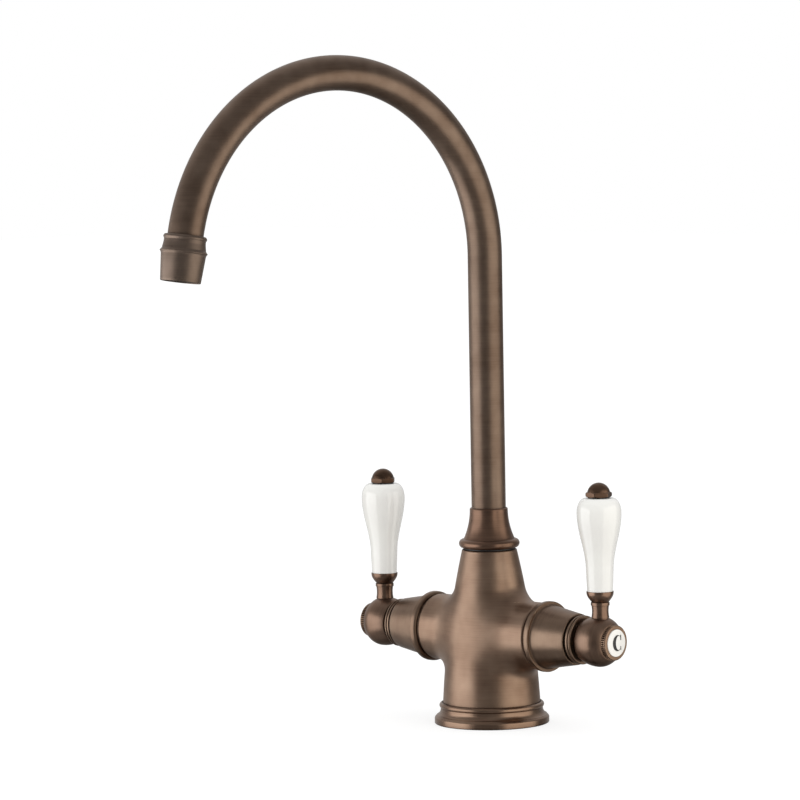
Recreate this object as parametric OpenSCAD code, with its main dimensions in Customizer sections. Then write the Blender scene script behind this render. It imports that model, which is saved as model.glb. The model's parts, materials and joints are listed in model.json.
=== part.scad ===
// Two-lever sink mixer with a swan-neck spout that swivels.
// Millimetres, Z up. The origin is the centre of the base's underside, on the worktop.
// The user stands at -Y. The cold valve is at +X, the hot valve at -X.

/* [Spout tube] */
// Outside diameter of the bent tube
tube_d = 20; // [16:0.5:24]
// Wall of the bent tube
tube_wall = 1.25; // [0.8:0.05:2]
// Radius of the bend, to the tube's centreline
bend_r = 107.3; // [80:0.1:130]
// Height of the bend's centre above the worktop
bend_z = 272.7; // [220:0.1:320]
// How far round the bend goes before the nozzle
bend_angle = 169.5; // [150:0.5:176]
// How far the spout is swung from straight ahead, towards the hot side
spout_swing = 9.6; // [-90:0.1:90]
// How deep the tube sits in the nozzle and in the spigot
tube_seat = 5; // [3:0.5:5]

/* [Base ring] */
// Diameter of the foot flange
base_d = 67; // [66.5:0.5:76]
// Overall height of the ring
base_h = 12.2; // [10.5:0.1:16]
// Height of the foot flange's edge
base_edge_h = 4.4; // [3:0.1:5]
// Diameter of the bead round the top
bead_d = 61.2; // [60:0.1:62]
// Thickness of that bead
bead_h = 3.4; // [2.6:0.1:4]
// Depth of the recess that the body's foot drops into
foot_recess = 0.8; // [0.5:0.1:1.5]
// Bore of the ring, round the body's spigot
base_bore_d = 50; // [48:0.5:52]

/* [Base seal] */
// Width of the land between the ring's bore and the seal's groove
seal_land = 2.1; // [1.5:0.1:3]
// Width of the seal
seal_w = 2.6; // [1.5:0.1:3.2]
// Thickness of the seal
seal_t = 1.8; // [1:0.1:2.2]

/* [Body casting] */
// Diameter of the trunk where it meets the base ring
trunk_foot_d = 57; // [55:0.1:57.5]
// Diameter of the trunk at its top, before the edge is rounded
trunk_head_d = 31.8; // [31:0.1:36]
// How far the middle of the trunk stands proud of a straight taper
trunk_bow = 2; // [0:0.1:3]
// Height of the body's top face
body_top = 101.9; // [99:0.1:106]
// Rounding of the body's top edge
head_round = 1.2; // [0.4:0.1:1.4]
// Height of the valve axis
valve_z = 53.5; // [50:0.5:57]
// Diameter of the side arms
arm_d = 38.6; // [36:0.1:39]
// Distance of the arm's end face from the centre
arm_x = 40.5; // [39:0.1:44]
// Radius of the blend between trunk and arms
blend_r = 10; // [5:0.5:11]

/* [Body bores] */
// Diameter of the valve bore
valve_bore_d = 20.4; // [19:0.1:22]
// Distance of the valve seat from the centre
seat_x = 23; // [21:0.5:26]
// Diameter of the gallery round the cartridge
gallery_d = 23.4; // [22.5:0.1:25]
// Length of the gallery along the valve axis
gallery_w = 5; // [3:0.5:6]
// Diameter of the drilled waterways
waterway_d = 6.8; // [5:0.1:7.4]
// Diameter of the slanting drillings to the mixing chamber
outlet_d = 5.8; // [4:0.1:6]
// Wall diameter of the tapped inlets
inlet_d = 9.2; // [8.5:0.1:10]
// Depth of the tapped inlets
inlet_depth = 12; // [9:0.5:16]
// Distance between the two inlets
inlet_pitch = 21; // [19:0.5:24]
// How far the inlets lie in front of the centre
inlet_y = 3; // [0:0.5:6]
// Wall diameter of the tapped hole for the fixing stud
stud_d = 6.8; // [5:0.1:8.5]
// Depth of that hole
stud_depth = 14; // [10:0.5:20]
// How far the stud lies behind the centre
stud_y = 13; // [10:0.5:16]
// Diameter of the mixing chamber
mixing_d = 10; // [8:0.5:12]
// Height of the mixing chamber's floor
mixing_z = 62; // [61:0.5:66]

/* [Spout swivel] */
// Diameter of the spigot that turns in the body
spigot_d = 24; // [22.5:0.1:24.5]
// Waterway through the spigot
spigot_bore_d = 14.4; // [12:0.1:15]
// How far the spigot reaches below the body's top face
spigot_drop = 25.3; // [24:0.1:26]
// How far the spigot reaches up into the collar
spigot_rise = 1.6; // [1:0.1:3]
// Gap left under the spigot
spigot_floor_gap = 0.6; // [0.3:0.1:1.5]
// Thickness of an O-ring's cord on the spigot
spigot_ring_t = 2.4; // [1.8:0.1:2.6]
// Height of the lower O-ring above the spigot's end
ring_low = 7.6; // [7:0.1:8]
// Height of the upper O-ring above the spigot's end
ring_high = 13.2; // [12:0.1:13.6]
// Thickness of the retaining clip
clip_t = 1.2; // [0.8:0.1:1.5]
// Outside diameter of the retaining clip
clip_d = 26.2; // [25.4:0.1:27]
// Inside diameter of the retaining clip
clip_bore_d = 21.9; // [20.8:0.1:22.2]
// Height of the clip above the spigot's end
clip_z = 2.2; // [1.6:0.1:3]
// Opening in the split clip
clip_split = 6; // [3:0.5:10]
// Thickness of the swivel washer
washer_t = 0.7; // [0.5:0.1:1]
// Inside diameter of the swivel washer
washer_bore_d = 24.8; // [24.6:0.1:25.6]
// Outside diameter of the swivel washer
washer_d = 29; // [27.5:0.1:29.2]

/* [Spout collar] */
// Height of the collar
collar_h = 23.4; // [20:0.1:30]
// Diameter across the collar's bead
collar_bead_d = 35.4; // [34:0.1:38]
// Thickness of the collar's bead
collar_bead_h = 5.2; // [4:0.1:7]
// Diameter of the flare just above the bead
collar_flare_d = 29.8; // [28:0.1:32]
// Diameter of the collar at its lip
collar_lip_d = 22.2; // [22:0.1:24]
// Radius of the hollow of the flare
collar_flare_r = 42; // [30:1:90]

/* [Nozzle] */
// Length of the nozzle
nozzle_len = 25.8; // [22:0.1:30]
// Diameter of the upper bead
nozzle_bead_d = 24.3; // [24:0.1:26]
// Diameter of the waist under the upper bead
nozzle_waist_d = 23.6; // [22.5:0.1:24]
// Diameter of the lower, sharper bead
nozzle_ridge_d = 26.6; // [25.6:0.1:29]
// Place of the lower bead along the nozzle
nozzle_ridge_at = 9.2; // [8:0.1:10]
// Diameter of the taper under the lower bead
nozzle_skirt_d = 25.1; // [24:0.1:25.4]
// Diameter of the nozzle's end
nozzle_end_d = 22.3; // [22:0.1:24]
// Diameter of the mouth
nozzle_mouth_d = 20.4; // [19:0.1:20.8]
// Depth of the mouth, down to the washer's seat
nozzle_mouth_depth = 11.1; // [9:0.1:12]
// Waterway between the tube and the mouth
nozzle_bore_d = 17; // [15:0.1:17.5]

/* [Aerator] */
// How far the aerator is set back from the nozzle's end
aerator_recess = 1; // [0.5:0.1:3]
// Wall of the aerator housing
aerator_wall = 1.5; // [1:0.1:2.5]
// Thickness of the aerator's washer
aerator_washer_t = 1.5; // [1:0.1:2]
// Thickness of the aerator's insert
insert_t = 2; // [1:0.1:3]
// Diameter of the holes in the insert
insert_hole_d = 1.5; // [0.8:0.1:1.8]
// Distance between the rings of holes
insert_pitch = 2.5; // [2.2:0.1:2.6]

/* [Valve shroud] */
// Diameter of the shroud's flange
flange_d = 41; // [39:0.1:44]
// Thickness of the flange
flange_t = 4; // [2.5:0.1:6]
// Width of the dark groove between arm and flange
shroud_groove = 0.7; // [0.3:0.1:1.5]
// Diameter of the cone behind the flange
shroud_root_d = 36.6; // [34:0.1:38]
// Diameter of the cone at its small end
shroud_tip_d = 29.5; // [28.5:0.1:31]
// Length of the cone
cone_len = 21.4; // [18:0.1:26]
// Width of the groove before the end ring
groove_w = 1.2; // [0.5:0.1:2]
// Depth of that groove
groove_depth = 1; // [0.4:0.1:1.2]
// Diameter of the end ring
end_ring_d = 28.2; // [27.4:0.1:30]
// Length of the end ring
end_ring_w = 3.6; // [3.4:0.1:6]
// Bore for the cartridge's hexagon
shroud_bore_d = 29; // [28.2:0.1:30]
// Length of that bore
shroud_bore_len = 6; // [5:0.1:8]
// Bore for the cartridge's neck
shroud_neck_bore_d = 23; // [20:0.1:24]
// Diameter of the nut that holds the shroud
shroud_nut_d = 22; // [20:0.1:23]
// Thickness of that nut
shroud_nut_t = 2.4; // [1.5:0.1:2.8]

/* [Cartridge] */
// Width across the flats of the cartridge's hexagon
hexagon_w = 24; // [22:0.1:24.2]
// Thickness of the hexagon
hexagon_t = 4; // [3:0.1:5]
// Diameter of the cartridge's neck
neck_d = 18; // [17:0.1:20]
// Diameter of the gland that the nut screws on
gland_d = 15; // [14:0.1:16]
// Thickness of the rubber seat seal
seat_seal_t = 2; // [1.5:0.1:3]
// Inside diameter of the seat seal
seat_seal_bore_d = 11; // [9:0.1:13]
// Diameter of the two ceramic discs
disc_d = 16.4; // [15:0.1:16.6]
// Thickness of one ceramic disc
disc_t = 2.5; // [2:0.1:3]
// Diameter of the two ports in a disc
port_d = 4.2; // [3:0.1:5]
// Distance of the ports from the valve axis
port_offset = 4.4; // [4:0.1:5]
// Diameter of the spindle
spindle_d = 8; // [6:0.1:9]
// Diameter of the spindle's foot
spindle_foot_d = 15; // [12:0.1:15.6]
// Thickness of the spindle's foot
spindle_foot_t = 2.6; // [2:0.1:3.5]
// Thickness of the spindle O-ring's cord
spindle_ring_t = 1.2; // [1:0.1:1.6]

/* [Lever hub] */
// Distance of the lever from the centre
lever_x = 83; // [82:0.5:90]
// Diameter of the ball-shaped hub
hub_d = 29; // [27:0.1:32]
// Gap between the shroud's end ring and the hub
hub_gap = 2.2; // [1.4:0.1:2.4]
// Half length of the hub's curve behind the lever
hub_back = 18; // [16:0.5:24]
// Half length of the hub's curve in front of the lever
hub_front = 13.6; // [12:0.1:18]
// Distance from the lever to the hub's front face
hub_face = 8.3; // [7.8:0.1:9.5]
// Diameter of the cavity behind the index disc
cavity_d = 16.6; // [15:0.1:17]
// Depth of that cavity
cavity_depth = 4.1; // [3.6:0.1:4.1]
// Diameter of the knurled bezel
bezel_d = 20.2; // [19:0.1:22]
// Length of the bezel that stands out of the hub
bezel_w = 3.1; // [2.2:0.1:4]
// Bore of the bezel
bezel_bore_d = 12; // [10:0.1:13]
// Diameter of the index disc
index_d = 16; // [14.5:0.1:16.4]
// Thickness of the index disc at its rim
index_t = 2; // [1.4:0.1:2.4]
// How far the index disc is domed
index_dome = 0.6; // [0.2:0.1:1]
// Diameter of the hub screw
hub_screw_d = 4; // [3:0.1:4.5]
// Diameter of its head
hub_screw_head_d = 7.2; // [6:0.1:8]
// Height of its head
hub_screw_head_h = 2.6; // [2:0.1:3]
// Width of the hexagon socket in its head
hub_screw_key = 3; // [2:0.5:3]

/* [Lever stem] */
// Diameter of the stem's foot on the hub
stem_foot_d = 10.2; // [9:0.1:11]
// Diameter of the stem's waist
stem_waist_d = 9.6; // [8:0.1:10]
// Diameter of the ring under the cup
stem_ring_d = 10.7; // [10:0.1:11.5]
// Height of that ring
stem_ring_h = 2; // [1:0.1:2.4]
// Length of the stem from the hub to the ring
stem_len = 7.4; // [6:0.1:10]
// Diameter of the cup's rim
cup_d = 15.6; // [15:0.1:17]
// Diameter of the cup's foot
cup_foot_d = 9.8; // [9:0.1:10.4]
// Height of the cup
cup_h = 6.2; // [4.5:0.1:7]
// Depth of the hollow in the cup
cup_depth = 1.6; // [1.2:0.1:2.4]
// Diameter of the stem's spigot in the hub
stem_spigot_d = 7; // [5:0.1:7.4]
// Depth of that spigot below the hub's flat
stem_spigot_len = 6; // [4:0.1:6.4]

/* [Porcelain handle] */
// Length of the porcelain
handle_len = 54.5; // [45:0.5:65]
// Diameter of the bulb
bulb_d = 25.6; // [22:0.1:28]
// Height of the bulb's widest place
bulb_at = 46.2; // [42:0.1:52]
// Diameter of the handle's foot, in the cup
handle_foot_d = 14.6; // [13:0.1:14.8]
// Diameter where the slender part begins to swell
grip_d = 15.8; // [14.8:0.1:18]
// Height at which it begins to swell
grip_len = 13; // [6:0.5:18]
// Diameter of the flat on top
crown_d = 15.8; // [15.6:0.1:18]
// Bore for the tie rod
handle_bore_d = 5.2; // [4.6:0.1:6]
// Diameter of the tie rod
tie_rod_d = 4; // [3:0.1:4.2]
// Thickness of the soft washers
soft_washer_t = 0.5; // [0.3:0.1:1]

/* [Finial] */
// Width across the flats of the finial's hexagon
finial_w = 13.5; // [12:0.1:14]
// Height of the hexagon
finial_hex_h = 3; // [2.5:0.1:4.5]
// Diameter of the dome
finial_dome_d = 13; // [11:0.1:13.2]
// Height of the dome
finial_dome_h = 5.3; // [4:0.1:6.2]
// How far the cold lever's finial is turned
cold_finial_turn = 50.2; // [0:0.1:60]
// How far the hot lever's finial is turned
hot_finial_turn = 8.5; // [0:0.1:60]

/* [Hidden] */

// Clearance between pieces that are fixed together
fit_gap = 0.05;
// Radial clearance of a part that turns in its bore
run_gap = 0.05;
// Clearance kept all round a part that turns inside a groove or chamber
free_gap = 0.3;
// Overlap of a cutting tool past the face that it opens
cut = 1;
$fn = 96;

bronze = "#7d6a5b";
dark_bronze = "#4f3a2e";
brass = "#b5985a";
porcelain = "#f2f1ec";
ceramic = "#e6e2d8";
rubber = "#2a2a2a";
plastic = "#3a3734";

// Inside diameter of the base seal
seal_d = base_bore_d + 2 * seal_land + 2 * free_gap;

// Places along the vertical axis
foot_z = base_h - foot_recess;
spigot_z = body_top - spigot_drop;
socket_floor = spigot_z - spigot_floor_gap;
collar_z = body_top + washer_t + run_gap;
tube_end_z = collar_z + spigot_rise - tube_seat - 4;
// How far the bend turns within the nozzle's seat
seat_turn = tube_seat / bend_r * 180 / PI;

// Places along the valve axis
seal_x = seat_x;
discs_x = seal_x + seat_seal_t;
moving_disc_x = discs_x + disc_t + fit_gap / 2;
spindle_foot_x = moving_disc_x + disc_t;
flange_x = arm_x + shroud_groove;
cone_x = flange_x + flange_t;
groove_x = cone_x + cone_len;
end_ring_x = groove_x + groove_w;
shroud_end = end_ring_x + end_ring_w;
nut_x = shroud_end - shroud_nut_t - free_gap;
ring_x = nut_x - 4;
hub_x = shroud_end + hub_gap;
hub_face_x = lever_x + hub_face;
bezel_front = hub_face_x + bezel_w;
index_x = bezel_front - index_t;
cavity_x = hub_face_x - cavity_depth;

// Heights along the lever
stem_foot_z = valve_z + sqrt(pow(hub_d / 2, 2) - pow(stem_foot_d / 2, 2)) - 0.1;
stem_ring_z = stem_foot_z + stem_len;
cup_z = stem_ring_z + stem_ring_h;
cup_rim_z = cup_z + cup_h;
cup_floor_z = cup_rim_z - cup_depth;
// The hollow takes the handle's foot, which widens slightly towards the rim
cup_bore_d = handle_foot_d + (grip_d - handle_foot_d) * cup_depth / grip_len + 2 * fit_gap;
handle_z = cup_floor_z + soft_washer_t;
handle_top = handle_z + handle_len;
finial_z = handle_top + soft_washer_t;

// Points on an arc about c, from angle a0 to a1
function arc(c, r, a0, a1, n = 8) = [
  for (i = [0:n]) let (a = a0 + (a1 - a0) * i / n) [c[0] + r * cos(a), c[1] + r * sin(a)]
];

// Puts a shape that was built upwards on the valve axis, with its heights as distances from the centre
module on_valve_axis(side) {
  translate([0, 0, valve_z]) mirror([side < 0 ? 1 : 0, 0, 0]) rotate([0, 90, 0]) children();
}

// Puts a shape on the lever's own axis
module on_lever_axis(side) {
  translate([side * lever_x, 0, 0]) children();
}

// Turns a shape with the spout
module swung() {
  rotate([0, 0, -spout_swing]) children();
}

// Puts a shape at the end of the bend, its +Z along the flow in the middle of the tube's seat
module at_spout_end() {
  turn = bend_angle + seat_turn / 2;
  swung()
    translate([0, bend_r * (cos(turn) - 1), bend_z + bend_r * sin(turn)])
      rotate([turn, 0, 0]) translate([0, 0, -tube_seat / 2]) children();
}

module ring(outer_d, inner_d, z0, z1) {
  difference() {
    translate([0, 0, z0]) cylinder(d = outer_d, h = z1 - z0);
    translate([0, 0, z0 - cut]) cylinder(d = inner_d, h = z1 - z0 + 2 * cut);
  }
}

module o_ring(outer_d, cord, z) {
  translate([0, 0, z]) rotate_extrude() translate([(outer_d - cord) / 2, 0]) circle(d = cord, $fn = 32);
}

// Foot flange, cove and half-round bead, with a recess for the body's foot
module base_ring() {
  r = base_d / 2;
  bead_r = bead_h / 2;
  bead_c = bead_d / 2 - bead_r;
  cove_r = base_h - bead_h - base_edge_h - 0.4;
  edge_r = 1.6;
  // How far the rounded edges turn before the cove takes over
  lip_turn = 60;
  recess_r = trunk_foot_d / 2 + 2 * free_gap;
  color(bronze)
    difference() {
      rotate_extrude()
        polygon(concat(
          [[base_bore_d / 2, 0], [r - 0.4, 0], [r, 0.4]],
          arc([r - edge_r, base_edge_h - edge_r], edge_r, 0, lip_turn, 5),
          arc([bead_c + 1 + cove_r, base_edge_h + cove_r], cove_r, 248, 180, 6),
          arc([bead_c, base_h - bead_r], bead_r, -lip_turn, 90, 8),
          [[base_bore_d / 2, base_h]]
        ));
      translate([0, 0, foot_z]) cylinder(r = recess_r, h = base_h);
      ring(seal_d + 2 * seal_w + 2 * free_gap, seal_d - 2 * free_gap, -cut, seal_t);
    }
}

module base_seal() {
  color(rubber) ring(seal_d + 2 * seal_w, seal_d, 0, seal_t);
}

// Radius of the trunk at height z: a straight taper with a slight bow
function trunk_r(z) =
  let (t = (z - foot_z) / (body_top - foot_z))
  trunk_foot_d / 2 * (1 - t) + trunk_head_d / 2 * t + 4 * trunk_bow * t * (1 - t);

// How far a point lies outside the trunk and the arms, blended with a round fillet
function outside(rho, a, z) =
  let (
    trunk = rho - trunk_r(z),
    arm = norm([rho * sin(a), z - valve_z]) - arm_d / 2
  )
  max(blend_r, min(trunk, arm)) - norm([max(blend_r - trunk, 0), max(blend_r - arm, 0)]);

// Where a level ray at angle a leaves the casting, found by halving the interval
function skin_reach(a, z, low, high, steps) =
  steps == 0 ? (low + high) / 2
  : let (mid = (low + high) / 2)
    outside(mid, a, z) < 0 ? skin_reach(a, z, mid, high, steps - 1)
    : skin_reach(a, z, low, mid, steps - 1);

// The blended middle of the casting: rings of points at rising heights, each with points at the arm's corner
skin_sink = 0.04;
skin_end = arm_x - 3;
end_steps = 4;
side_steps = 12;
search_steps = 20;
search_from = 5;
search_to = 60;
fan = [for (i = [0:5]) 15 * i];
blend_reach = arm_d / 2 + blend_r + 0.5;
skin_levels = concat(
  [valve_z - blend_reach],
  [for (i = [5:-1:0]) valve_z - arm_d / 2 - blend_r * (1 - cos(fan[i] + 15))],
  [for (p = [-90:15:90]) valve_z + arm_d / 2 * sin(p)],
  [for (i = [0:5]) valve_z + arm_d / 2 + blend_r * (1 - cos(fan[i] + 15))],
  [valve_z + blend_reach]
);

// Angle at which the arm's end face turns into its side at height z
function corner_angle(z) =
  max(1.5, atan(sqrt(max(0, pow(arm_d / 2, 2) - pow(z - valve_z, 2))) / skin_end));

// Angles of one quarter ring at height z
function quarter(z) =
  let (c = corner_angle(z))
  concat(
    [for (i = [0:end_steps - 1]) c * i / end_steps],
    [for (i = [0:side_steps - 1]) c + (90 - c) * pow(i / side_steps, 1.3)]
  );

function skin_ring(z) =
  let (
    q = quarter(z),
    n = len(q),
    angles = concat(q, [90], [for (i = [n - 1:-1:1]) 180 - q[i]])
  )
  [
    for (half = [0, 180]) for (a = angles)
      let (
        limit = skin_end / max(abs(cos(a)), 0.001),
        rho = min(limit, skin_reach(a, z, search_from, search_to, search_steps)) - skin_sink
      )
      [rho * cos(a + half), rho * sin(a + half), z]
  ];

module blended_skin() {
  rings = [for (z = skin_levels) skin_ring(z)];
  m = len(rings[0]);
  n = len(rings);
  points = [for (r = rings) for (p = r) p];
  sides = [
    for (i = [0:n - 2]) for (j = [0:m - 1])
      let (k = (j + 1) % m, a = i * m, b = (i + 1) * m)
      for (t = [[a + j, b + j, b + k], [a + j, b + k, a + k]]) t
  ];
  polyhedron(
    points = points,
    faces = concat(sides, [[for (j = [0:m - 1]) j]], [[for (j = [m - 1:-1:0]) (n - 1) * m + j]])
  );
}

// A slice of the plain trunk between two heights
module trunk_slice(z0, z1, round_top) {
  n = 16;
  r = head_round;
  top = round_top ? z1 - r : z1;
  side = [for (i = [0:n]) let (z = z0 + (top - z0) * i / n) [trunk_r(z), z]];
  rounding = round_top ? arc([trunk_r(top) - r, top], r, 12, 90, 6) : [];
  rotate_extrude() polygon(concat([[0, z0]], side, rounding, [[0, z1]]));
}

module cold_and_hot() {
  for (side = [1, -1]) on_valve_axis(side) children();
}

// Cross-shaped casting with the valve bores, waterways, spout socket and fixing holes
module body() {
  low = skin_levels[0];
  high = skin_levels[len(skin_levels) - 1];
  drill_x = inlet_pitch / 2;
  gallery_x = discs_x + disc_t + fit_gap;
  outlet_x = gallery_x + gallery_w / 2;
  outlet_z = valve_z + gallery_d / 2;
  outlet_rise = atan((socket_floor - 2 - outlet_z) / outlet_x);
  color(bronze)
    difference() {
      union() {
        blended_skin();
        trunk_slice(foot_z, low + cut / 2, false);
        trunk_slice(high - cut / 2, body_top, true);
        cold_and_hot() translate([0, 0, skin_end - cut]) cylinder(d = arm_d, h = arm_x - skin_end + cut);
        cylinder(d = base_bore_d - 2 * fit_gap, h = foot_z + cut);
      }
      // Spout socket, the clip's groove in it and the mixing chamber below it
      translate([0, 0, socket_floor]) cylinder(d = spigot_d + 2 * run_gap, h = body_top);
      translate([0, 0, spigot_z + clip_z - free_gap])
        cylinder(d = clip_d + 2 * free_gap, h = clip_t + 2 * free_gap);
      translate([0, 0, mixing_z]) cylinder(d = mixing_d, h = socket_floor - mixing_z + cut);
      // Valve bores, galleries and seat drillings
      cold_and_hot() {
        translate([0, 0, seat_x]) cylinder(d = valve_bore_d + 2 * fit_gap, h = arm_x);
        translate([0, 0, gallery_x]) cylinder(d = gallery_d, h = gallery_w);
        translate([0, 0, drill_x]) cylinder(d = waterway_d, h = seat_x - drill_x + cut);
      }
      for (side = [1, -1]) {
        // From each gallery up to the mixing chamber
        translate([side * outlet_x, 0, outlet_z])
          rotate([0, -side * (90 - outlet_rise), 0]) cylinder(d = outlet_d, h = outlet_x / cos(outlet_rise));
        // From each inlet up to the valve seat
        translate([side * drill_x, -inlet_y, -cut]) cylinder(d = inlet_d, h = inlet_depth + cut);
        translate([side * drill_x, -inlet_y, 0]) cylinder(d = waterway_d, h = valve_z);
      }
      translate([0, stud_y, -cut]) cylinder(d = stud_d, h = stud_depth + cut);
    }
}

module swivel_washer() {
  color(plastic) ring(washer_d, washer_bore_d, body_top, body_top + washer_t);
}

// Pieces of one valve that stay with the body
module seat_seal(side) {
  color(rubber) on_valve_axis(side) ring(valve_bore_d - 2 * fit_gap, seat_seal_bore_d, seal_x, discs_x);
}

module ceramic_disc(side, x) {
  color(ceramic)
    on_valve_axis(side)
      difference() {
        translate([0, 0, x]) cylinder(d = disc_d, h = disc_t);
        for (y = [port_offset, -port_offset])
          translate([0, y, x - cut]) cylinder(d = port_d, h = disc_t + 2 * cut, $fn = 48);
      }
}

module cartridge(side) {
  chamber_d = disc_d + 2 * free_gap;
  chamber_end = spindle_foot_x + spindle_foot_t + fit_gap;
  gland_x = nut_x - cut;
  window_x = discs_x + disc_t + fit_gap;
  color(brass)
    on_valve_axis(side)
      difference() {
        union() {
          translate([0, 0, discs_x]) cylinder(d = valve_bore_d, h = arm_x - discs_x);
          translate([0, 0, arm_x]) cylinder(d = hexagon_w / cos(30), h = hexagon_t, $fn = 6);
          translate([0, 0, arm_x]) cylinder(d = neck_d, h = gland_x - arm_x - 6);
          translate([0, 0, arm_x]) cylinder(d = gland_d, h = nut_x + shroud_nut_t - arm_x);
        }
        translate([0, 0, discs_x - cut]) cylinder(d = chamber_d, h = chamber_end - discs_x + cut);
        cylinder(d = spindle_d + 2 * run_gap, h = shroud_end + cut);
        translate([-port_d / 2, -valve_bore_d, window_x])
          cube([port_d, 2 * valve_bore_d, gallery_w - 2 * fit_gap]);
      }
}

// Flange, cone, groove and end ring, hollow over the cartridge
module shroud(side) {
  edge = 0.4;
  tip = 0.9;
  f = flange_d / 2;
  e = end_ring_d / 2;
  color(bronze)
    on_valve_axis(side)
      difference() {
        rotate_extrude()
          polygon(concat(
            [[0, arm_x], [arm_d / 2 - 0.7, arm_x], [arm_d / 2 - 0.7, flange_x]],
            arc([f - edge, flange_x + edge], edge, -90, 0, 4),
            arc([f - edge, cone_x - edge], edge, 0, 90, 4),
            [[shroud_root_d / 2, cone_x], [shroud_tip_d / 2, groove_x - 0.3]],
            [[shroud_tip_d / 2 - 0.3, groove_x]],
            [[shroud_tip_d / 2 - groove_depth, groove_x], [shroud_tip_d / 2 - groove_depth, end_ring_x]],
            [[e - 0.3, end_ring_x], [e, end_ring_x + 0.3]],
            arc([e - tip, shroud_end - tip], tip, 0, 90, 5),
            [[0, shroud_end]]
          ));
        translate([0, 0, arm_x - cut]) cylinder(d = shroud_bore_d, h = shroud_bore_len + cut);
        translate([0, 0, arm_x]) cylinder(d = shroud_neck_bore_d, h = nut_x - arm_x - 2);
        translate([0, 0, arm_x]) cylinder(d = gland_d + 2 * fit_gap, h = shroud_end);
        translate([0, 0, nut_x]) cylinder(d = shroud_nut_d + 2 * fit_gap, h = shroud_end);
      }
}

module shroud_nut(side) {
  color(dark_bronze)
    on_valve_axis(side) ring(shroud_nut_d, gland_d + 2 * fit_gap, nut_x, nut_x + shroud_nut_t);
}

// Pieces that turn with one lever
module spindle(side) {
  color(brass)
    on_valve_axis(side)
      difference() {
        union() {
          translate([0, 0, spindle_foot_x]) cylinder(d = spindle_foot_d, h = spindle_foot_t);
          translate([0, 0, spindle_foot_x]) cylinder(d = spindle_d, h = lever_x - spindle_foot_x);
        }
        groove_d = spindle_d - 2 * spindle_ring_t;
        ring(spindle_d + cut, groove_d, ring_x - fit_gap, ring_x + spindle_ring_t + fit_gap);
        translate([0, 0, hub_x]) cylinder(d = hub_screw_d + 2 * fit_gap, h = lever_x);
      }
}

module spindle_o_ring(side) {
  color(rubber) on_valve_axis(side) o_ring(spindle_d, spindle_ring_t, ring_x + spindle_ring_t / 2);
}

// Half length of the hub's curve, longer behind the lever than in front of it
function hub_r(x) =
  let (half = x < lever_x ? hub_back : hub_front)
  hub_d / 2 * sqrt(1 - pow((x - lever_x) / half, 2));

module hub(side) {
  n = 24;
  edge = 0.4;
  length = hub_face_x - hub_x - 2 * edge;
  color(bronze)
    difference() {
      on_valve_axis(side)
        difference() {
          rotate_extrude()
            polygon(concat(
              [[0, hub_x], [hub_r(hub_x + edge) - edge, hub_x]],
              [for (i = [0:n]) let (x = hub_x + edge + length * i / n) [hub_r(x), x]],
              [[hub_r(hub_face_x - edge) - edge, hub_face_x], [0, hub_face_x]]
            ));
          translate([0, 0, hub_x - cut]) cylinder(d = spindle_d + 2 * fit_gap, h = lever_x - hub_x + cut);
          translate([0, 0, hub_x]) cylinder(d = hub_screw_d + 2 * fit_gap, h = hub_face_x);
          translate([0, 0, cavity_x]) cylinder(d = cavity_d, h = hub_face_x);
        }
      on_lever_axis(side) {
        translate([0, 0, stem_foot_z]) cylinder(d = stem_foot_d + 2 * fit_gap, h = hub_d);
        translate([0, 0, stem_foot_z - stem_spigot_len - fit_gap])
          cylinder(d = stem_spigot_d + 2 * fit_gap, h = hub_d);
      }
    }
}

module hub_screw(side) {
  color(brass)
    on_valve_axis(side)
      difference() {
        union() {
          translate([0, 0, hub_x + 2]) cylinder(d = hub_screw_d, h = cavity_x - hub_x - 2);
          translate([0, 0, cavity_x]) cylinder(d = hub_screw_head_d, h = hub_screw_head_h);
        }
        translate([0, 0, cavity_x + 1]) cylinder(d = hub_screw_key / cos(30), h = hub_screw_head_h, $fn = 6);
      }
}

module bezel(side) {
  edge = 0.6;
  r = bezel_d / 2;
  spigot_r = cavity_d / 2 - fit_gap;
  color(bronze)
    on_valve_axis(side)
      rotate_extrude()
        polygon(concat(
          [[bezel_bore_d / 2, hub_face_x - 3], [spigot_r, hub_face_x - 3], [spigot_r, hub_face_x]],
          [[r - 0.3, hub_face_x], [r, hub_face_x + 0.3]],
          arc([r - edge, bezel_front - edge], edge, 0, 90, 5),
          [[index_d / 2 + fit_gap, bezel_front], [index_d / 2 + fit_gap, index_x]],
          [[bezel_bore_d / 2, index_x]]
        ));
}

module index_disc(side) {
  r = index_d / 2;
  dome_r = (pow(r, 2) + pow(index_dome, 2)) / (2 * index_dome);
  a = asin(r / dome_r);
  color(porcelain)
    on_valve_axis(side)
      rotate_extrude()
        polygon(concat(
          [[0, index_x], [r, index_x]],
          arc([0, bezel_front + index_dome - dome_r], dome_r, 90 - a, 90, 8)
        ));
}

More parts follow.
